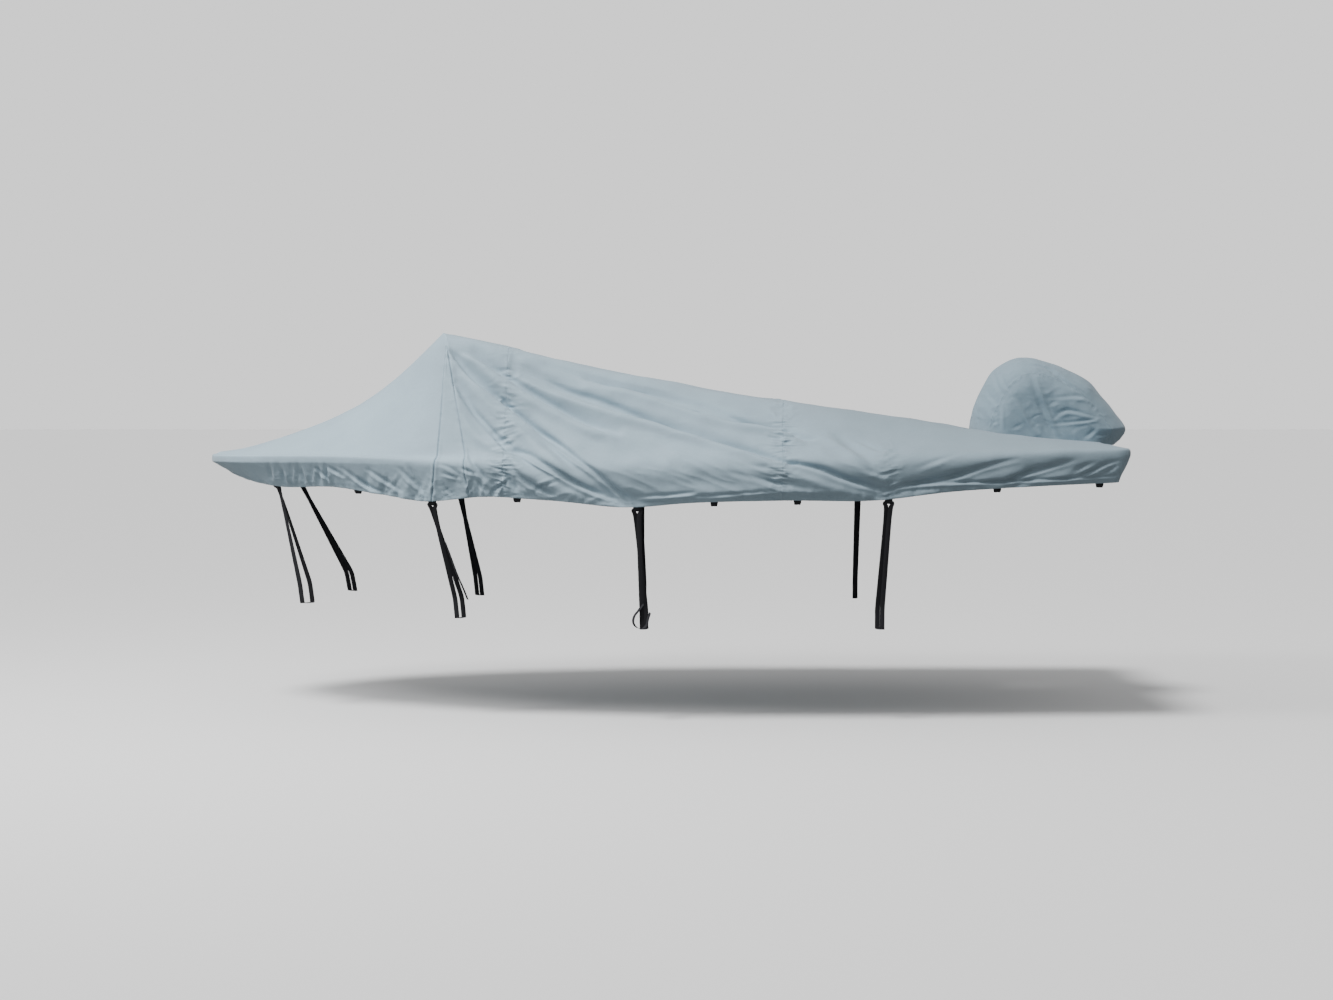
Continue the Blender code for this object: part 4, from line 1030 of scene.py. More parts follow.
def hood_lines():
    """The hood's profile and its seams in side view, at close places."""
    fine = smooth_path(HOOD_PROFILE, HOOD_SAMPLES)
    run = lengths(fine[:, :2])
    at = np.linspace(0, run[-1], HOOD_COLUMNS + 1)
    places = np.stack([np.interp(at, run, column) for column in fine.T], axis=1)
    return fine[:, :2], places[:, :2], places[:, 2:]


def hood_half(points, profile):
    """Half width of the hood at side-view points, from how far in they lie."""
    gap = np.linalg.norm(points[:, None] - profile[None], axis=2).min(axis=1)
    share = np.clip(gap / HOOD_ROUND, 0, 1)
    return HOOD_HALF * np.sqrt(1 - (1 - share) ** 2)


def hood_crown(edge, seam, seam_half):
    """Grid of the centre strip's points, from the profile out to the seam."""

    def drop(y):
        return 1 - np.sqrt(1 - (y / HOOD_HALF) ** 2)

    rows = []
    for turn in np.linspace(0, math.pi / 2, HOOD_CROWN_ROWS + 1):
        y = math.sin(turn) * seam_half
        plan = edge + (seam - edge) * (drop(y) / drop(seam_half))[:, None]
        rows.append(np.column_stack([plan[:, 0], y, plan[:, 1]]))
    return np.array(rows).transpose(1, 0, 2)


def hood_side(profile, seam, seam_half):
    """Grid of a side panel's points, from the seam down to the hem."""
    across = (seam[:, 0] - seam[0, 0]) / (seam[-1, 0] - seam[0, 0])
    even = np.linspace(0, 1, len(seam))
    share = np.clip(0.5 * across + 0.5 * even, 0, 1)
    share[-1] = 1
    hem = seam[0] + share[:, None] * (seam[-1] - seam[0])
    rows = []
    for down in np.linspace(0, 1, HOOD_ROWS + 1):
        plan = seam + down * (hem - seam)
        half = hood_half(plan, profile) if down else seam_half
        rows.append(np.column_stack([plan[:, 0], half, plan[:, 1]]))
    return np.array(rows).transpose(1, 0, 2)


def hood_skin():
    """The hood's outer face as one sheet, its seams' points, and its profile."""
    profile, edge, seam = hood_lines()
    seam_half = hood_half(seam, profile)
    crown = hood_crown(edge, seam, seam_half)
    sides = hood_side(profile, seam, seam_half)
    skin = bmesh.new()
    layer = skin.verts.layers.float_vector.new("cut")
    for side, _ in SIDES:
        flip = side == PORT
        lay_grid(skin, on_side(crown, side), cut_places(crown), layer, 0, flip)
        lay_grid(skin, on_side(sides, side), cut_places(sides), layer, 1 if flip else 2, flip)
    bmesh.ops.remove_doubles(skin, verts=skin.verts, dist=WELD)
    return skin, np.column_stack([seam[:, 0], seam_half, seam[:, 1]]), profile


def fold_hood(skin, seam, profile, strength):
    """Presses creases, slack and seam puckers into the hood's cloth."""
    points, normals = skin_arrays(skin)

    def on_hood(x, height, side):
        half = hood_half(np.array([[x, height]]), profile)[0]
        return np.array([x, side * half, height])

    creases = HOOD_CREASES + tuple(mirrored(HOOD_CREASES))
    total = HOOD_CREASE_DEPTH * fold_offsets(points, normals, creases, on_hood)
    x, y, z = points.T
    side = np.where(y < 0, 0.0, 20.0)
    total += HOOD_SLACK * noise(x / 0.15 + side, z / 0.13 + side, 31)
    total += HOOD_RIPPLE * noise((x + 0.6 * z) / 0.05 + side, (z - 0.5 * x) / 0.10, 32)
    store(skin, "rumple", np.full(len(points), HOOD_RUMPLE))
    for way, _ in SIDES:
        line = on_side(seam, way)
        near, share, distance, _ = near_path(points, normals, line, 0.05)
        run = share * lengths(line)[-1]
        ripple = crinkle(run / 0.04, distance / 0.04, 33 + way)
        welt = HOOD_WELT * bell((np.abs(distance) - 0.006) / 0.004)
        total[near] += (HOOD_PUCKER * ripple + welt) * bell(distance / 0.02)
    above = points[:, 2] - top_height(points[:, 0], np.full(len(points), NOTCH_HALF))
    total *= strength * ease(-0.01, 0.05, above)
    shift_points(skin, points, normals * total[:, None])


# ---------------------------------------------------------------- loops and tie-downs

LOOP_WIDTH = 0.038
LOOP_DROP = 0.028
LOOP_OVERLAP = 0.016
LOOP_HALF = (LOOP_DROP + LOOP_OVERLAP) / 2
LOOP_BAND = 0.0018
LOOP_TAPER = 0.007  # how much narrower the pulled belly is
WEBBING = 0.002

# The loop's band across the hem, as (out, down) from its middle: both ends lie flat
# together behind the hem, and the belly hangs below it
LOOP_PATH = (
    (0.0044, -0.0218),
    (0.0060, -0.0080),
    (0.0084, 0.0050),
    (0.0066, 0.0155),
    (0.0000, 0.0210),
    (-0.0066, 0.0155),
    (-0.0090, 0.0050),
    (-0.0070, -0.0070),
    (0.0004, -0.0140),
    (0.0020, -0.0218),
)
LOOP_SAMPLES = 48
BAND_POINTS = 16  # round a band's section

LoopFrame = namedtuple("LoopFrame", "middle aft out down")


def loop_frame(name, side):
    """A hem loop's middle and directions, read from its solid: its faces turn round the
    direction along the hem, and the largest look outboard."""
    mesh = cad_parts[name].data
    points = np.array([vert.co for vert in mesh.vertices])
    spread = sum(face.area * np.outer(face.normal, face.normal) for face in mesh.polygons)
    aft, down, out = np.linalg.eigh(spread)[1].T
    aft = aft * math.copysign(1, aft[0])
    down = down * -math.copysign(1, down[2])
    out = out * math.copysign(1, out[1] * side)
    middle = np.zeros(3)
    for axis in (aft, down, out):
        places = points @ axis
        middle = middle + (axis * places.min() + axis * places.max())
    return LoopFrame(middle / 2, aft, out, down)


def lay_band(bm, layer, middles, acrosses, widths, depths):
    """A band of webbing with round edges along a path, given its width's direction and
    its size at each place. Its ends are capped, or joined where they meet."""
    ahead = unit(np.gradient(middles, axis=0))
    across = acrosses - np.einsum("ij,ij->i", acrosses, ahead)[:, None] * ahead
    across = unit(across)
    out = np.cross(ahead, across)
    turn = np.linspace(0, 2 * math.pi, BAND_POINTS + 1) + math.pi / BAND_POINTS
    half = depths[:, None] / 2
    aside = np.copysign(widths[:, None] / 2 - half, np.cos(turn)) + half * np.cos(turn)
    proud = half * np.sin(turn)
    grid = middles[:, None] + aside[..., None] * across[:, None] + proud[..., None] * out[:, None]
    run = np.broadcast_to(lengths(middles)[:, None], aside.shape)
    cut = np.stack([run, aside, np.zeros_like(aside)], axis=2)
    lay_grid(bm, grid, cut, layer, 0, True)


def close_bands(bm):
    """Joins the bands' edges, and caps the ends that stay open."""
    bmesh.ops.remove_doubles(bm, verts=bm.verts, dist=1e-6)
    bmesh.ops.holes_fill(bm, edges=[edge for edge in bm.edges if edge.is_boundary])
    bmesh.ops.recalc_face_normals(bm, faces=bm.faces)


def loop_name(word, number):
    return f"hem_loop_{word}_{number:02d}"


def hem_loop(name, side):
    place = loop_frame(name, side)
    bm = bmesh.new()
    layer = bm.verts.layers.float_vector.new("cut")
    path = resample(smooth_path(LOOP_PATH, 4 * LOOP_SAMPLES), LOOP_SAMPLES)
    middles = place.middle + path[:, :1] * place.out + path[:, 1:] * place.down
    acrosses = np.tile(place.aft, (LOOP_SAMPLES, 1))
    widths = LOOP_WIDTH - LOOP_TAPER * ease(0.0, LOOP_HALF, path[:, 1])
    lay_band(bm, layer, middles, acrosses, widths, np.full(LOOP_SAMPLES, LOOP_BAND))
    close_bands(bm)
    return bm


# One row for each tie-down: the loop it hangs from, where it meets the rail's outer
# and inner faces, and where that rail's outer top edge lies
Tie = namedtuple("Tie", "name side loop outer_x inner_x rail_half rail_top")
TIES = (
    Tie("bow", PORT, 1, -0.745, -0.700, 0.36, -0.647),
    Tie("screen", PORT, 3, 0.105, 0.135, 0.66, -0.696),
    Tie("middle", PORT, 5, 1.074, 1.094, 0.86, -0.734),
    Tie("aft", PORT, 8, 2.300, 2.280, 0.86, -0.734),
    Tie("bow", STARBOARD, 1, -0.600, -0.562, 0.40, -0.647),
    Tie("screen", STARBOARD, 3, 0.105, 0.138, 0.65, -0.696),
    Tie("middle", STARBOARD, 5, 1.060, 1.072, 0.86, -0.734),
    Tie("aft", STARBOARD, 8, 2.300, 2.290, 0.86, -0.734),
)
RAIL_WIDTH = 0.050
RAIL_HEIGHT = 0.100
RAIL_CLEAR = 0.004
RAIL_DRIFT = 0.018  # how far aft a slanting strap moves on as it passes the rail
STRAP_WIDTH = 0.025
STRAP_BAND = 0.0018
BUNCH_WIDTH = 0.014
BUNCH_DEPTH = 0.004
STRAP_SEAT = 0.0006
CORNER_REACHES = (0.014, 0.006, 0.0025)  # how far from a bend each pass rounds it

# One row for each section of a strand as it leaves its loop and spreads out flat: how
# far aft, down and out of the loop's middle, how far on towards the rail, its size,
# and how far its width has turned from upright
Spread = namedtuple("Spread", "aft down out ahead width depth turned")
SPREADS = (
    Spread(0.0000, 0.0000, 0.0000, 0.000, BUNCH_WIDTH, BUNCH_DEPTH, 0),
    Spread(0.0195, 0.0000, 0.0000, 0.000, BUNCH_WIDTH, BUNCH_DEPTH, 0),
    Spread(0.0228, 0.0045, 0.0010, 0.000, BUNCH_WIDTH, BUNCH_DEPTH, 38),
    Spread(0.0205, 0.0105, 0.0030, 0.000, 0.018, 0.0032, 76),
    Spread(0.0145, 0.0165, 0.0045, 0.000, 0.022, 0.0024, 90),
    Spread(0.0105, 0.0185, 0.0050, 0.008, 0.024, WEBBING, 90),
    Spread(0.0070, 0.0220, 0.0040, 0.060, STRAP_WIDTH, STRAP_BAND, 90),
    Spread(0.0050, 0.0220, 0.0040, 0.148, STRAP_WIDTH, STRAP_BAND, 90),
)


def strand(place, rail, way):
    """Rows of middle, width direction, width and depth of one strand, from its loop's
    middle aft (way 1) or forward (way -1) and down towards a point on the rail."""
    start = place.middle + (LOOP_HALF - WEBBING - STRAP_SEAT - BUNCH_WIDTH / 2) * place.down
    ahead = unit(rail - start)
    rows = []
    for row in SPREADS:
        middle = start + way * (row.aft * place.aft + row.out * place.out)
        middle = middle + row.down * place.down + row.ahead * ahead
        turn = math.radians(row.turned)
        across = math.cos(turn) * way * place.down - math.sin(turn) * place.aft
        rows.append(np.concatenate([middle, across, [row.width, row.depth]]))
    return rows


def strap_rows(tie, place):
    """Rows round a tie-down, from inside its loop, down outside the rail, under it and
    up again inside."""

    def rail(x, outboard, below):
        height = tie.rail_top - below + LIFT[2]
        return np.array([x, tie.side * (tie.rail_half + outboard), height])

    inner = -RAIL_WIDTH - RAIL_CLEAR
    drift = RAIL_DRIFT * ease(0.0, 0.25, tie.inner_x - place.middle[0])
    round_rail = [
        rail(tie.outer_x, RAIL_CLEAR, 0.0),
        rail(tie.outer_x + drift, RAIL_CLEAR, RAIL_HEIGHT),
        rail(tie.outer_x + drift, 0.0, RAIL_HEIGHT + RAIL_CLEAR),
        rail(tie.inner_x + drift, -RAIL_WIDTH, RAIL_HEIGHT + RAIL_CLEAR),
        rail(tie.inner_x + drift, inner, RAIL_HEIGHT),
        rail(tie.inner_x, inner, 0.0),
    ]
    down = strand(place, round_rail[0], 1)
    up = strand(place, round_rail[-1], -1)
    flat = [np.array([*middle, -1.0, 0.0, 0.0, STRAP_WIDTH, STRAP_BAND]) for middle in round_rail]
    return np.array(down + flat + up[::-1])


def round_bends(rows, reach):
    """Cuts each bend's corner with two rows, no further than reach from it."""
    made = [rows[0]]
    for before, row, after in zip(rows, rows[1:], rows[2:]):
        for other in (before, after):
            gap = np.linalg.norm(other[:3] - row[:3])
            made.append(row + (other - row) * min(reach / gap, 0.3))
    made.append(rows[-1])
    return np.array(made)


# A slack tail left beside a tie-down's foot: where it runs in side view, from where it
# leaves the strap to its free end
Tail = namedtuple("Tail", "name side path")
TAILS = (
    Tail("middle", PORT, tuple(map(metres, (
        (1082, -705), (1058, -738), (1036, -768), (1031, -800), (1048, -824), (1078, -829),
        (1098, -812), (1106, -780), (1116, -748),
    )))),
    Tail("screen", PORT, tuple(map(metres, (
        (62, -395), (88, -470), (118, -560), (150, -640), (172, -700),
    )))),
)
TAIL_SAMPLES = 60
TAIL_OUT = 0.006  # how far it lies off the strap's foot, and how far its free end strays
TAIL_STRAY = 0.016
TAIL_FACE = (0.45, -0.89, 0.0)  # its width's direction: it hangs nearly edge on


def slack_tail(bm, layer, tail, rows):
    """Lays the webbing that is left over beside a tie-down's foot."""
    path = resample(smooth_path(tail.path, 4 * TAIL_SAMPLES), TAIL_SAMPLES)
    heights = path[:, 1] + LIFT[2]
    down = rows[: len(rows) // 2]
    beside = np.interp(-heights, -down[:, 2], down[:, 1])
    off = TAIL_OUT + TAIL_STRAY * ease(0, 1, np.linspace(0, 1, TAIL_SAMPLES))
    middles = np.column_stack([path[:, 0], beside + tail.side * off, heights])
    acrosses = np.tile(unit(np.array(TAIL_FACE)), (TAIL_SAMPLES, 1))
    widths = np.full(TAIL_SAMPLES, STRAP_WIDTH)
    lay_band(bm, layer, middles, acrosses, widths, np.full(TAIL_SAMPLES, STRAP_BAND))


def tie_strap(tie, word):
    rows = strap_rows(tie, loop_frame(loop_name(word, tie.loop), tie.side))
    for reach in CORNER_REACHES:
        rows = round_bends(rows, reach)
    bm = bmesh.new()
    layer = bm.verts.layers.float_vector.new("cut")
    lay_band(bm, layer, rows[:, :3], rows[:, 3:6], rows[:, 6], rows[:, 7])
    for tail in TAILS:
        if (tail.name, tail.side) == (tie.name, tie.side):
            slack_tail(bm, layer, tail, rows)
    close_bands(bm)
    return bm, lengths(rows[:, :3])[-1]


# ---------------------------------------------------------------- stitching

STITCH = (0.0044, 0.0010, 0.0008)  # length, width and height of a stitch
STITCH_PITCH = 0.0062
STITCH_PROUD = 0.0002
SEAM_ROWS = (-0.0045, 0.0045)  # how far the rows of stitches lie from a seam
HEM_ROWS = (0.020, 0.0255)  # how far they lie above the hem's edge
TACK_ROWS = (-0.0155, -0.0110, -0.0065)  # across a loop's sewn end
TACK_STITCHES = 6


def cloth_tree(names):
    """The outer faces of some finished pieces, to lay stitches on."""
    points, faces = [], []
    for name in names:
        mesh = bpy.data.objects[f"{name}_cloth"].data
        start = len(points)
        points += [vert.co for vert in mesh.vertices]
        faces += [[start + k for k in face.vertices] for face in mesh.polygons]
    return BVHTree.FromPolygons(points, faces)


def stitch_row(bm, tree, line):
    """Lays a row of stitches on the cloth nearest to a line."""
    places = along(line, np.arange(STITCH_PITCH / 2, lengths(line)[-1], STITCH_PITCH))
    size = Matrix.Diagonal((*STITCH, 1))
    row = bmesh.new()
    for place, ahead in zip(places, np.gradient(places, axis=0)):
        spot, normal, _, _ = tree.find_nearest(Vector(place))
        forward = Vector(ahead)
        forward = (forward - normal * normal.dot(forward)).normalized()
        turn = Matrix((forward, normal.cross(forward), normal)).transposed().to_4x4()
        lift = Matrix.Translation(spot + normal * STITCH_PROUD)
        bmesh.ops.create_cube(row, size=1, matrix=lift @ turn @ size)
    mesh = bpy.data.meshes.new("row")
    row.to_mesh(mesh)
    row.free()
    bm.from_mesh(mesh)
    bpy.data.meshes.remove(mesh)


def stitch_seams(bm, tree):
    for seam in SEAMS:
        for side, _ in SIDES:
            for aside in SEAM_ROWS:
                stitch_row(bm, tree, seam_line(seam, side) + LIFT + np.array([aside, 0, 0]))


def stitch_hem(bm, tree):
    for panel in PANELS:
        for above in HEM_ROWS:
            line = [along(rows[:-HEM_ROW_COUNT][::-1], above) for rows in panel_points(panel)]
            for side, _ in SIDES:
                stitch_row(bm, tree, on_side(np.array(line), side) + LIFT)
    for side, word in SIDES:
        for number in range(1, len(LOOP_STATIONS) + 1):
            loop = loop_frame(loop_name(word, number), side)
            half = STITCH_PITCH * TACK_STITCHES / 2
            for below in TACK_ROWS:
                middle = loop.middle + below * loop.down + 0.01 * loop.out
                stitch_row(bm, tree, np.array([middle - half * loop.aft, middle + half * loop.aft]))


def stitch_hood(bm, tree):
    _, seam, _ = hood_skin()
    for side, _ in SIDES:
        for aside in SEAM_ROWS:
            stitch_row(bm, tree, on_side(seam, side) + LIFT + np.array([0, aside, aside]))


# ---------------------------------------------------------------- settings


class ClothSettings(bpy.types.PropertyGroup):
    colour: FloatVectorProperty(
        name="Cloth colour", description="Colour of the cover's cloth",
        default=(0.300, 0.402, 0.470), subtype="COLOR", min=0, max=1,
    )
    hood_colour: FloatVectorProperty(
        name="Hood colour", description="Colour of the motor hood's cloth",
        default=(0.290, 0.402, 0.480), subtype="COLOR", min=0, max=1,
    )
    thread_colour: FloatVectorProperty(
        name="Thread colour", description="Colour of the sewing thread",
        default=(0.27, 0.36, 0.42), subtype="COLOR", min=0, max=1,
    )
    # painted shade: how bright the cloth is left at the stern, as a share of the bow's brightness
    fade: FloatProperty(
        name="Shaded share",
        description="How bright the cloth is at the stern beside the faded bow",
        default=0.74, min=0, max=1, subtype="FACTOR",
    )
    roughness: FloatProperty(
        name="Roughness", description="How matt the coated cloth is",
        default=0.75, min=0, max=1, subtype="FACTOR",
    )
    sheen: FloatProperty(
        name="Sheen", description="Soft gloss at grazing angles",
        default=0.15, min=0, max=1, subtype="FACTOR",
    )
    weave_pitch: FloatProperty(
        name="Weave pitch", description="Distance between two threads",
        default=0.0016, unit="LENGTH", subtype="DISTANCE",
    )
    thickness: FloatProperty(
        name="Thickness", description="Thickness of the cloth",
        default=0.001, unit="LENGTH", subtype="DISTANCE",
    )
    crumple: FloatProperty(
        name="Crumple", description="Depth of the small creases where the cloth is gathered",
        default=0.010, unit="LENGTH", subtype="DISTANCE",
    )
    folds: FloatProperty(
        name="Folds", description="Strength of the creases and gathers",
        default=1.8, min=0, max=4, subtype="FACTOR",
    )


class WebbingSettings(bpy.types.PropertyGroup):
    colour: FloatVectorProperty(
        name="Webbing colour", description="Colour of the loops and straps",
        default=(0.012, 0.013, 0.015), subtype="COLOR", min=0, max=1,
    )
    roughness: FloatProperty(
        name="Roughness", description="How matt the webbing is",
        default=0.7, min=0, max=1, subtype="FACTOR",
    )
    rib_pitch: FloatProperty(
        name="Rib pitch", description="Distance between two of the webbing's ribs",
        default=0.0024, unit="LENGTH", subtype="DISTANCE",
    )


class StageSettings(bpy.types.PropertyGroup):
    floor_level: FloatProperty(
        name="Floor level", description="Height of the ground that the trailer would stand on",
        default=-2.0, unit="LENGTH", subtype="DISTANCE",
    )
    camera_place: FloatVectorProperty(
        name="Camera", description="Place of the camera",
        default=(1.20, -13.05, -0.1975), unit="LENGTH", subtype="TRANSLATION",
    )
    camera_pitch: FloatProperty(
        name="Camera pitch", description="How far the camera looks down",
        default=math.radians(3.1), unit="ROTATION", subtype="ANGLE",
    )
    lens: FloatProperty(
        name="Lens", description="Focal length of the camera in millimetres", default=64.8,
    )
    key_direction: FloatVectorProperty(
        name="Key direction", description="Where the soft light above the boat shines from",
        default=(-0.28, -0.30, 0.91), subtype="DIRECTION",
    )
    key_power: FloatProperty(
        name="Key light", description="Strength of the light above the boat", default=2.9,
    )
    key_spread: FloatProperty(
        name="Key spread", description="How wide the light above the boat is, seen from it",
        default=math.radians(14), unit="ROTATION", subtype="ANGLE",
    )
    box_place: FloatVectorProperty(
        name="Softbox", description="Place of the softbox before the bow",
        default=(-3.0, -2.6, 3.6), unit="LENGTH", subtype="TRANSLATION",
    )
    box_power: FloatProperty(
        name="Softbox light", description="Strength of the softbox before the bow",
        default=300.0, unit="POWER",
    )
    box_size: FloatProperty(
        name="Softbox size", description="Side of the softbox before the bow",
        default=2.0, unit="LENGTH", subtype="DISTANCE",
    )
    fill: FloatProperty(
        name="Surroundings", description="Brightness of the surroundings", default=0.62,
    )
    backdrop: FloatProperty(
        name="Backdrop", description="Brightness of the backdrop behind the floor", default=1.18,
    )


# ---------------------------------------------------------------- operators


def cloth_skin():
    """The whole cover's outer face as one sheet, its faces tagged by their panel."""
    skin = bmesh.new()
    layer = skin.verts.layers.float_vector.new("cut")
    tags = list(CUTS)
    for panel in PANELS:
        points = panel_points(panel)
        cut = cut_places(points)
        for side, word in SIDES:
            tag = tags.index(f"{panel}_{word}" if panel == "screen_gusset" else panel)
            lay_grid(skin, on_side(points, side), cut, layer, tag, side == PORT)
    bmesh.ops.remove_doubles(skin, verts=skin.verts, dist=WELD)
    return skin


def steady_hem(points, normals, run, up):
    """Normals that look outboard along the hem, so that its layers move together."""
    out_x, out_y = (np.interp(run, RUN, OUTWARD[:, k]) for k in (0, 1))
    outward = np.stack([out_x, out_y * np.sign(points[:, 1]), np.zeros_like(run)], axis=1)
    share = ease(0.028, 0.055, up)[:, None]
    return unit(share * normals + (1 - share) * outward)


def store(skin, name, values):
    """Stores a value for each of the skin's points."""
    layer = skin.verts.layers.float.new(name)
    for vert, value in zip(skin.verts, values):
        vert[layer] = value


def mark_rumpled(skin, points, up):
    """Stores how crumpled the cloth is: most at the puckered seams and along the hem."""
    amount = np.full(len(points), CALM_RUMPLE)
    for seam in SEAMS:
        for side, _ in SIDES:
            line = seam_line(seam, side)
            near = np.flatnonzero(np.abs(points[:, 0] - line[:, 0].mean()) < NEAR_SEAM)
            gaps = np.ones(len(points))
            gaps[near] = closest(points[near], line[::SEAM_STEP])[1]
            amount += SEAM_RUMPLE * seam.depth * bell(gaps / (1.2 * seam.reach))
    amount += HEM_RUMPLE * follow(RUFFLES, "depth", points[:, 0]) * bell(up / 0.07)
    store(skin, "rumple", np.minimum(amount, 1.0))


def shift_points(skin, points, offset):
    """Moves the skin's points and gives their new places and normals."""
    for vert, place in zip(skin.verts, points + offset):
        vert.co = place
    return skin_arrays(skin)


def skin_arrays(skin):
    skin.normal_update()
    points = np.array([vert.co for vert in skin.verts])
    normals = np.array([vert.normal for vert in skin.verts])
    return points, normals


def closest(points, samples):
    """The number of the sample nearest to each point, and its distance."""
    numbers = np.empty(len(points), int)
    gaps = np.empty(len(points))
    for start in range(0, len(points), BLOCK):
        block = slice(start, start + BLOCK)
        away = ((points[block, None] - samples[None]) ** 2).sum(axis=2)
        numbers[block] = away.argmin(axis=1)
        gaps[block] = np.sqrt(away.min(axis=1))
    return numbers, gaps


def hem_distances(points):
    """Each point's run along the gunwale and its height above the hem."""
    plan = np.column_stack([points[:, 0], np.abs(points[:, 1])])
    number, _ = closest(plan, OUTLINE[::OUTLINE_STEP])
    number = number * OUTLINE_STEP
    run = RUN[number] + ((plan - OUTLINE[number]) * FORWARD[number]).sum(axis=1)
    edge_x = np.interp(run, RUN, OUTLINE[:, 0])
    up = points[:, 2] - follow(EDGES, "hem", edge_x)
    return run, np.maximum(up, 0.0)


def fold_skin(skin, strength):
    points, normals = skin_arrays(skin)
    run, up = hem_distances(points)
    normals = steady_hem(points, normals, run, up)
    notch = ease(0.0, 0.05, notch_distance(points))[:, None]
    broad = fold_offsets(points, normals, BROAD, on_cloth)[:, None]
    bent, turned = shift_points(skin, points, normals * broad * notch)
    turned = steady_hem(points, turned, run, up)
    fine = fold_offsets(points, normals, fine_creases(), on_cloth)
    fine *= 0.35 + 0.65 * ease(0.0, 0.04, up)
    fine += seam_offsets(points, normals)
    fine += hem_offsets(points, run, up)
    fine += slack_offsets(points, up)
    shift_points(skin, bent, turned * strength * fine[:, None] * notch)
    mark_rumpled(skin, points, up)


def notch_distance(points):
    """How far each point lies from the motor cut-out's edge."""
    far = points[:, 0] > NOTCH_X - 0.1
    gap = np.ones(len(points))
    plan = np.column_stack([points[far, 0], np.abs(points[far, 1])])
    gap[far] = closest(plan, NOTCH)[1]
    return gap


def seam_numbers(skin):
    """The numbers of the skin's points that lie on a seam."""
    edges = [
        edge
        for edge in skin.edges
        if len(edge.link_faces) == 2
        and edge.link_faces[0].material_index != edge.link_faces[1].material_index
    ]
    return sorted({vert.index for edge in edges for vert in edge.verts})


def lap_step(vert, tag):
    """The small step that laps a panel's point over its seam."""
    own = [face for face in vert.link_faces if face.material_index == tag]
    if not own:
        return Vector()
    inward = sum((face.calc_center_median() for face in own), Vector()) / len(own) - vert.co
    for edge in vert.link_edges:
        joined = {face.material_index for face in edge.link_faces}
        if tag in joined and len(joined) > 1:
            line = (edge.other_vert(vert).co - vert.co).normalized()
            inward -= inward.dot(line) * line
    return inward.normalized() * (-SEAM_LAP / 2)


def cut_panel(skin, tag, seams):
    """One panel of the skin, lapped a little over its seams and set at its place."""
    bm = skin.copy()
    bm.verts.ensure_lookup_table()
    steps = [(bm.verts[k], lap_step(bm.verts[k], tag)) for k in seams]
    for vert, step in steps:
        vert.co += step
    others = [face for face in bm.faces if face.material_index != tag]
    bmesh.ops.delete(bm, geom=others, context="FACES")
    for face in bm.faces:
        face.material_index = 0
    for edge in bm.edges:
        edge.smooth = not edge.is_boundary
    bmesh.ops.translate(bm, verts=bm.verts, vec=LIFT)
    return bm


def sew(skin, cuts, material, slot, thickness):
    """Cuts a folded skin into its panels and gives them their thickness."""
    seams = seam_numbers(skin)
    for tag, (name, cut) in enumerate(cuts.items()):
        bm = cut_panel(skin, tag, seams)
        piece = add_piece(f"{name}_cloth", bm, material, [name], slot)
        thicken(piece, thickness)
    skin.free()


# One row for each panel: the size it is cut from and its area
Cut = namedtuple("Cut", "width length area")
CUTS = {
    "bow_panel": Cut(2.70, 1.75, 3.10),
    "screen_gusset_port": Cut(0.22, 1.15, 0.13),
    "screen_gusset_starboard": Cut(0.22, 1.15, 0.13),
    "screen_panel": Cut(0.45, 3.20, 1.05),
    "middle_panel": Cut(1.48, 2.95, 4.20),
    "stern_panel": Cut(2.10, 2.60, 4.60),
}


class BOATCOVER_OT_panels(bpy.types.Operator):
    """Sews the cover's panels and draws them over the boat's outline"""

    bl_idname = "boat_cover.panels"
    bl_label = "Cover panels"

    def execute(self, context):
        settings = context.scene.boat_cover_cloth
        material = cloth_material("cover_cloth", settings.colour, settings)
        skin = cloth_skin()
        fold_skin(skin, settings.folds)
        sew(skin, CUTS, material, "cloth", settings.thickness)
        return {"FINISHED"}


HOOD_CUTS = {
    "hood_gusset": Cut(0.50, 1.85, 0.80),
    "hood_side_port": Cut(0.62, 0.50, 0.26),
    "hood_side_starboard": Cut(0.62, 0.50, 0.26),
}


class BOATCOVER_OT_hood(bpy.types.Operator):
    """Sews the motor hood from its centre strip and two sides"""

    bl_idname = "boat_cover.hood"
    bl_label = "Motor hood"

    def execute(self, context):
        settings = context.scene.boat_cover_cloth
        material = cloth_material("hood_cloth", settings.hood_colour, settings)
        skin, seam, profile = hood_skin()
        fold_hood(skin, seam, profile, settings.folds)
        sew(skin, HOOD_CUTS, material, "hood_cloth", settings.thickness)
        return {"FINISHED"}


class BOATCOVER_OT_loops(bpy.types.Operator):
    """Sews the webbing loops behind the hem"""

    bl_idname = "boat_cover.loops"
    bl_label = "Hem loops"

    def execute(self, context):
        material = webbing_material(context.scene.boat_cover_webbing)
        length = lengths(smooth_path(LOOP_PATH, LOOP_SAMPLES))[-1]
        for side, word in SIDES:
            for number in range(1, len(LOOP_STATIONS) + 1):
                name = loop_name(word, number)
                bm = hem_loop(name, side)
                piece = add_piece(f"{name}_webbing", bm, material, [name], "webbing")
        return {"FINISHED"}


class BOATCOVER_OT_straps(bpy.types.Operator):
    """Lays the tie-down straps through their loops and round the trailer's rails"""

    bl_idname = "boat_cover.straps"
    bl_label = "Tie-down straps"

    def execute(self, context):
        material = bpy.data.materials["webbing"]
        for tie in TIES:
            word = dict(SIDES)[tie.side]
            name = f"tie_strap_{word}_{tie.name}"
            bm, length = tie_strap(tie, word)
            piece = add_piece(f"{name}_webbing", bm, material, [name], "webbing")
        return {"FINISHED"}


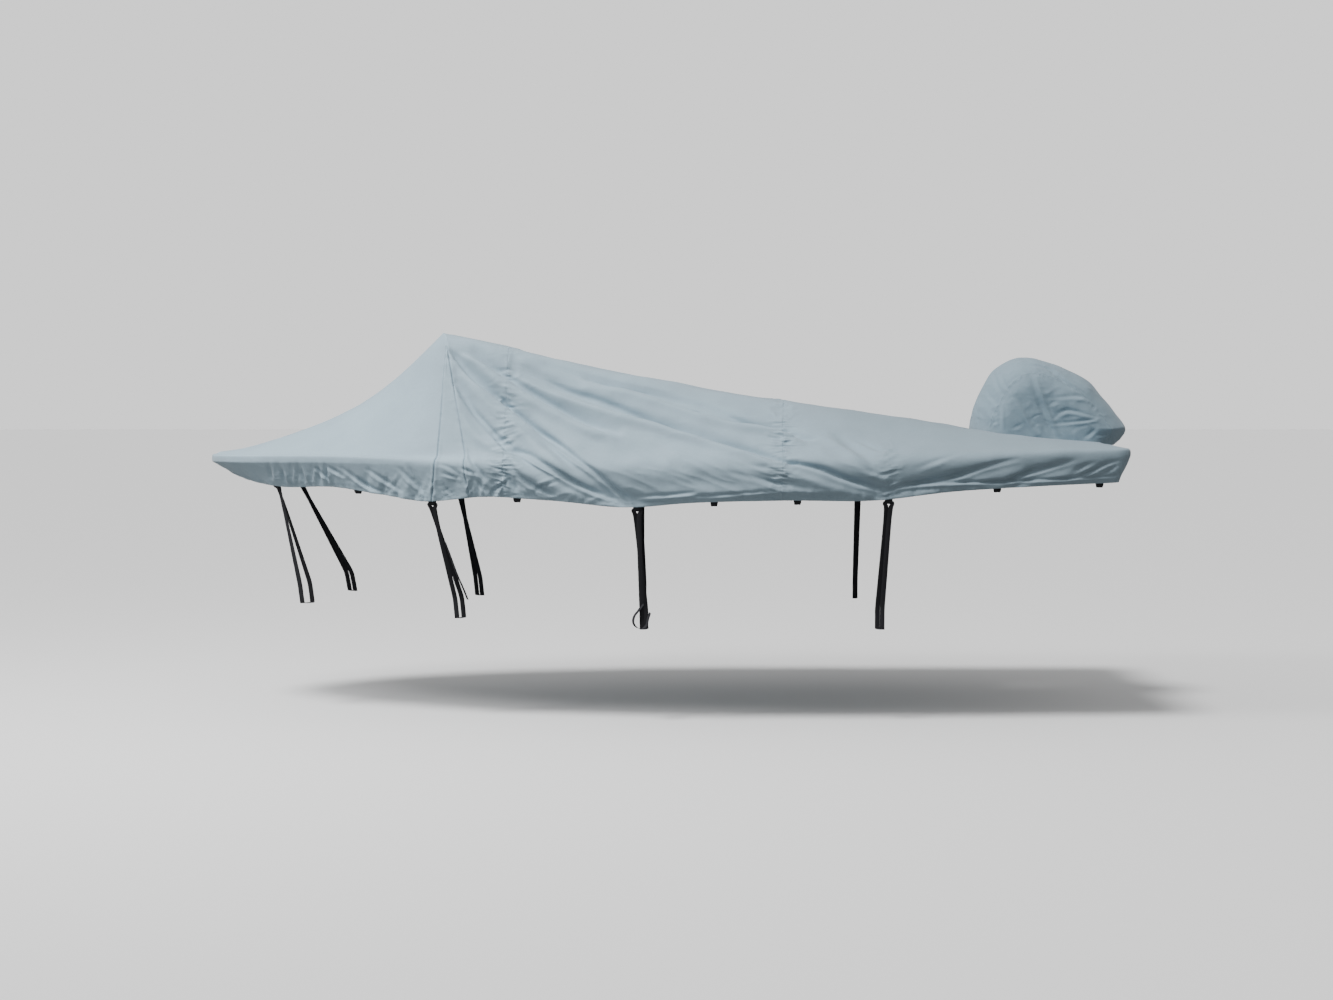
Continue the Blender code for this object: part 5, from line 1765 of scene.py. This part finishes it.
class BOATCOVER_OT_stitching(bpy.types.Operator):
    """Sews the seams, the hem and the hood with rows of thread"""

    bl_idname = "boat_cover.stitching"
    bl_label = "Stitching"

    def execute(self, context):
        material, _, shader = new_material("thread", 0.6, 0.0)
        colour = context.scene.boat_cover_cloth.thread_colour
        shader.inputs["Base Color"].default_value = (*colour, 1.0)
        cover = cloth_tree(CUTS)
        hood = cloth_tree(HOOD_CUTS)
        rows = (
            ("seam_stitching", stitch_seams, cover, "cloth"),
            ("hem_stitching", stitch_hem, cover, "cloth"),
            ("hood_stitching", stitch_hood, hood, "hood_cloth"),
        )
        for name, stitch, tree, slot in rows:
            bm = bmesh.new()
            stitch(bm, tree)
            add_piece(name, bm, material, [], slot)
        return {"FINISHED"}


def stand(context, name, data, place, turn):
    """Puts a light or a camera in the scene."""
    holder = bpy.data.objects.new(name, data)
    holder.location = place
    holder.rotation_euler = turn
    context.scene.collection.objects.link(holder)
    return holder


def facing(direction):
    """The turn of a light that shines in a direction."""
    return direction.to_track_quat("-Z", "Y").to_euler()


SOFTBOX_AIM = (0.8, -0.4, -0.5)  # where the softbox points
SKY_UP = (-0.42, -0.12, 0.90)  # towards the brightest part of the sky
FLOOR_HALF = 60.0
FLOOR_SEEN = 0.78
FLOOR_LIT = 0.22  # a dark floor's worth of light thrown back up under the boat


class BOATCOVER_OT_stage(bpy.types.Operator):
    """Lays the pale floor and sets the soft lights and the camera"""

    bl_idname = "boat_cover.stage"
    bl_label = "Stage"

    def execute(self, context):
        settings = context.scene.boat_cover_stage
        self.lay_floor(context, settings)
        self.add_sky(context, settings)
        key = bpy.data.lights.new("key", "SUN")
        key.energy = settings.key_power
        key.angle = settings.key_spread
        stand(context, "key", key, (0, 0, 0), facing(-Vector(settings.key_direction)))
        box = bpy.data.lights.new("softbox", "AREA")
        box.energy = settings.box_power
        box.size = settings.box_size
        aim = Vector(SOFTBOX_AIM) - Vector(settings.box_place)
        stand(context, "softbox", box, settings.box_place, facing(aim))
        camera = bpy.data.cameras.new("camera")
        camera.lens = settings.lens
        camera.clip_end = 500.0
        turn = (math.pi / 2 - settings.camera_pitch, 0.0, 0.0)
        context.scene.camera = stand(context, "camera", camera, settings.camera_place, turn)
        return {"FINISHED"}

    def lay_floor(self, context, settings):
        bm = bmesh.new()
        bmesh.ops.create_grid(bm, x_segments=1, y_segments=1, size=FLOOR_HALF)
        bmesh.ops.translate(bm, verts=bm.verts, vec=(0, 0, settings.floor_level))
        mesh = bpy.data.meshes.new("floor")
        bm.to_mesh(mesh)
        bm.free()
        floor = bpy.data.objects.new("floor", mesh)
        context.scene.collection.objects.link(floor)
        material, tree, shader = new_material("floor_paint", 0.9, 0.0)
        seen = node(tree, "LightPath").outputs["Is Camera Ray"]
        tone = ramp(tree, seen, WHOLE, (FLOOR_LIT, FLOOR_SEEN))
        tree.links.new(tone, shader.inputs["Base Color"])
        mesh.materials.append(material)

    def add_sky(self, context, settings):
        """Surroundings that shine mostly from overhead, with a plain pale backdrop."""
        world = bpy.data.worlds.new("surroundings")
        context.scene.world = world
        world.use_nodes = True
        tree = world.node_tree
        place = node(tree, "TexCoord").outputs["Generated"]
        up = node(tree, "VectorMath", operation="DOT_PRODUCT", input_0=place, input_1=SKY_UP)
        bright = ramp(tree, up.outputs["Value"], (0.0, 0.9), (0.25, 1.3))
        sky = tree.nodes["Background"]
        sky.inputs["Strength"].default_value = settings.fill
        tree.links.new(bright, sky.inputs["Color"])
        plain = {"Color": (1.0, 1.0, 1.0, 1.0), "Strength": settings.backdrop}
        backdrop = node(tree, "Background", **plain)
        seen = node(tree, "LightPath").outputs["Is Camera Ray"]
        layers = {"input_1": sky.outputs[0], "input_2": backdrop.outputs[0]}
        both = node(tree, "MixShader", input_0=seen, **layers)
        tree.links.new(both.outputs[0], tree.nodes["World Output"].inputs["Surface"])


class BOATCOVER_PT_panel(bpy.types.Panel):
    """Lists the cover's pieces and their settings"""

    bl_idname = "BOATCOVER_PT_panel"
    bl_label = "Boat Cover"
    bl_space_type = "VIEW_3D"
    bl_region_type = "UI"
    bl_category = "Boat Cover"

    def draw(self, context):
        scene = context.scene
        for group in (scene.boat_cover_cloth, scene.boat_cover_webbing, scene.boat_cover_stage):
            box = self.layout.box()
            for name in group.__annotations__:
                box.prop(group, name)
        for operator in OPERATORS:
            self.layout.operator(operator.bl_idname)


OPERATORS = (
    BOATCOVER_OT_stage,
    BOATCOVER_OT_panels,
    BOATCOVER_OT_hood,
    BOATCOVER_OT_loops,
    BOATCOVER_OT_straps,
    BOATCOVER_OT_stitching,
)
CLASSES = (ClothSettings, WebbingSettings, StageSettings, *OPERATORS, BOATCOVER_PT_panel)


def register():
    for cls in CLASSES:
        bpy.utils.register_class(cls)
    bpy.types.Scene.boat_cover_cloth = PointerProperty(type=ClothSettings)
    bpy.types.Scene.boat_cover_webbing = PointerProperty(type=WebbingSettings)
    bpy.types.Scene.boat_cover_stage = PointerProperty(type=StageSettings)


def unregister():
    del bpy.types.Scene.boat_cover_stage
    del bpy.types.Scene.boat_cover_webbing
    del bpy.types.Scene.boat_cover_cloth
    for cls in reversed(CLASSES):
        bpy.utils.unregister_class(cls)


def main():
    register()
    bpy.ops.boat_cover.stage()
    bpy.ops.boat_cover.panels()
    bpy.ops.boat_cover.hood()
    bpy.ops.boat_cover.loops()
    bpy.ops.boat_cover.straps()
    bpy.ops.boat_cover.stitching()


if __name__ == "__main__":
    main()
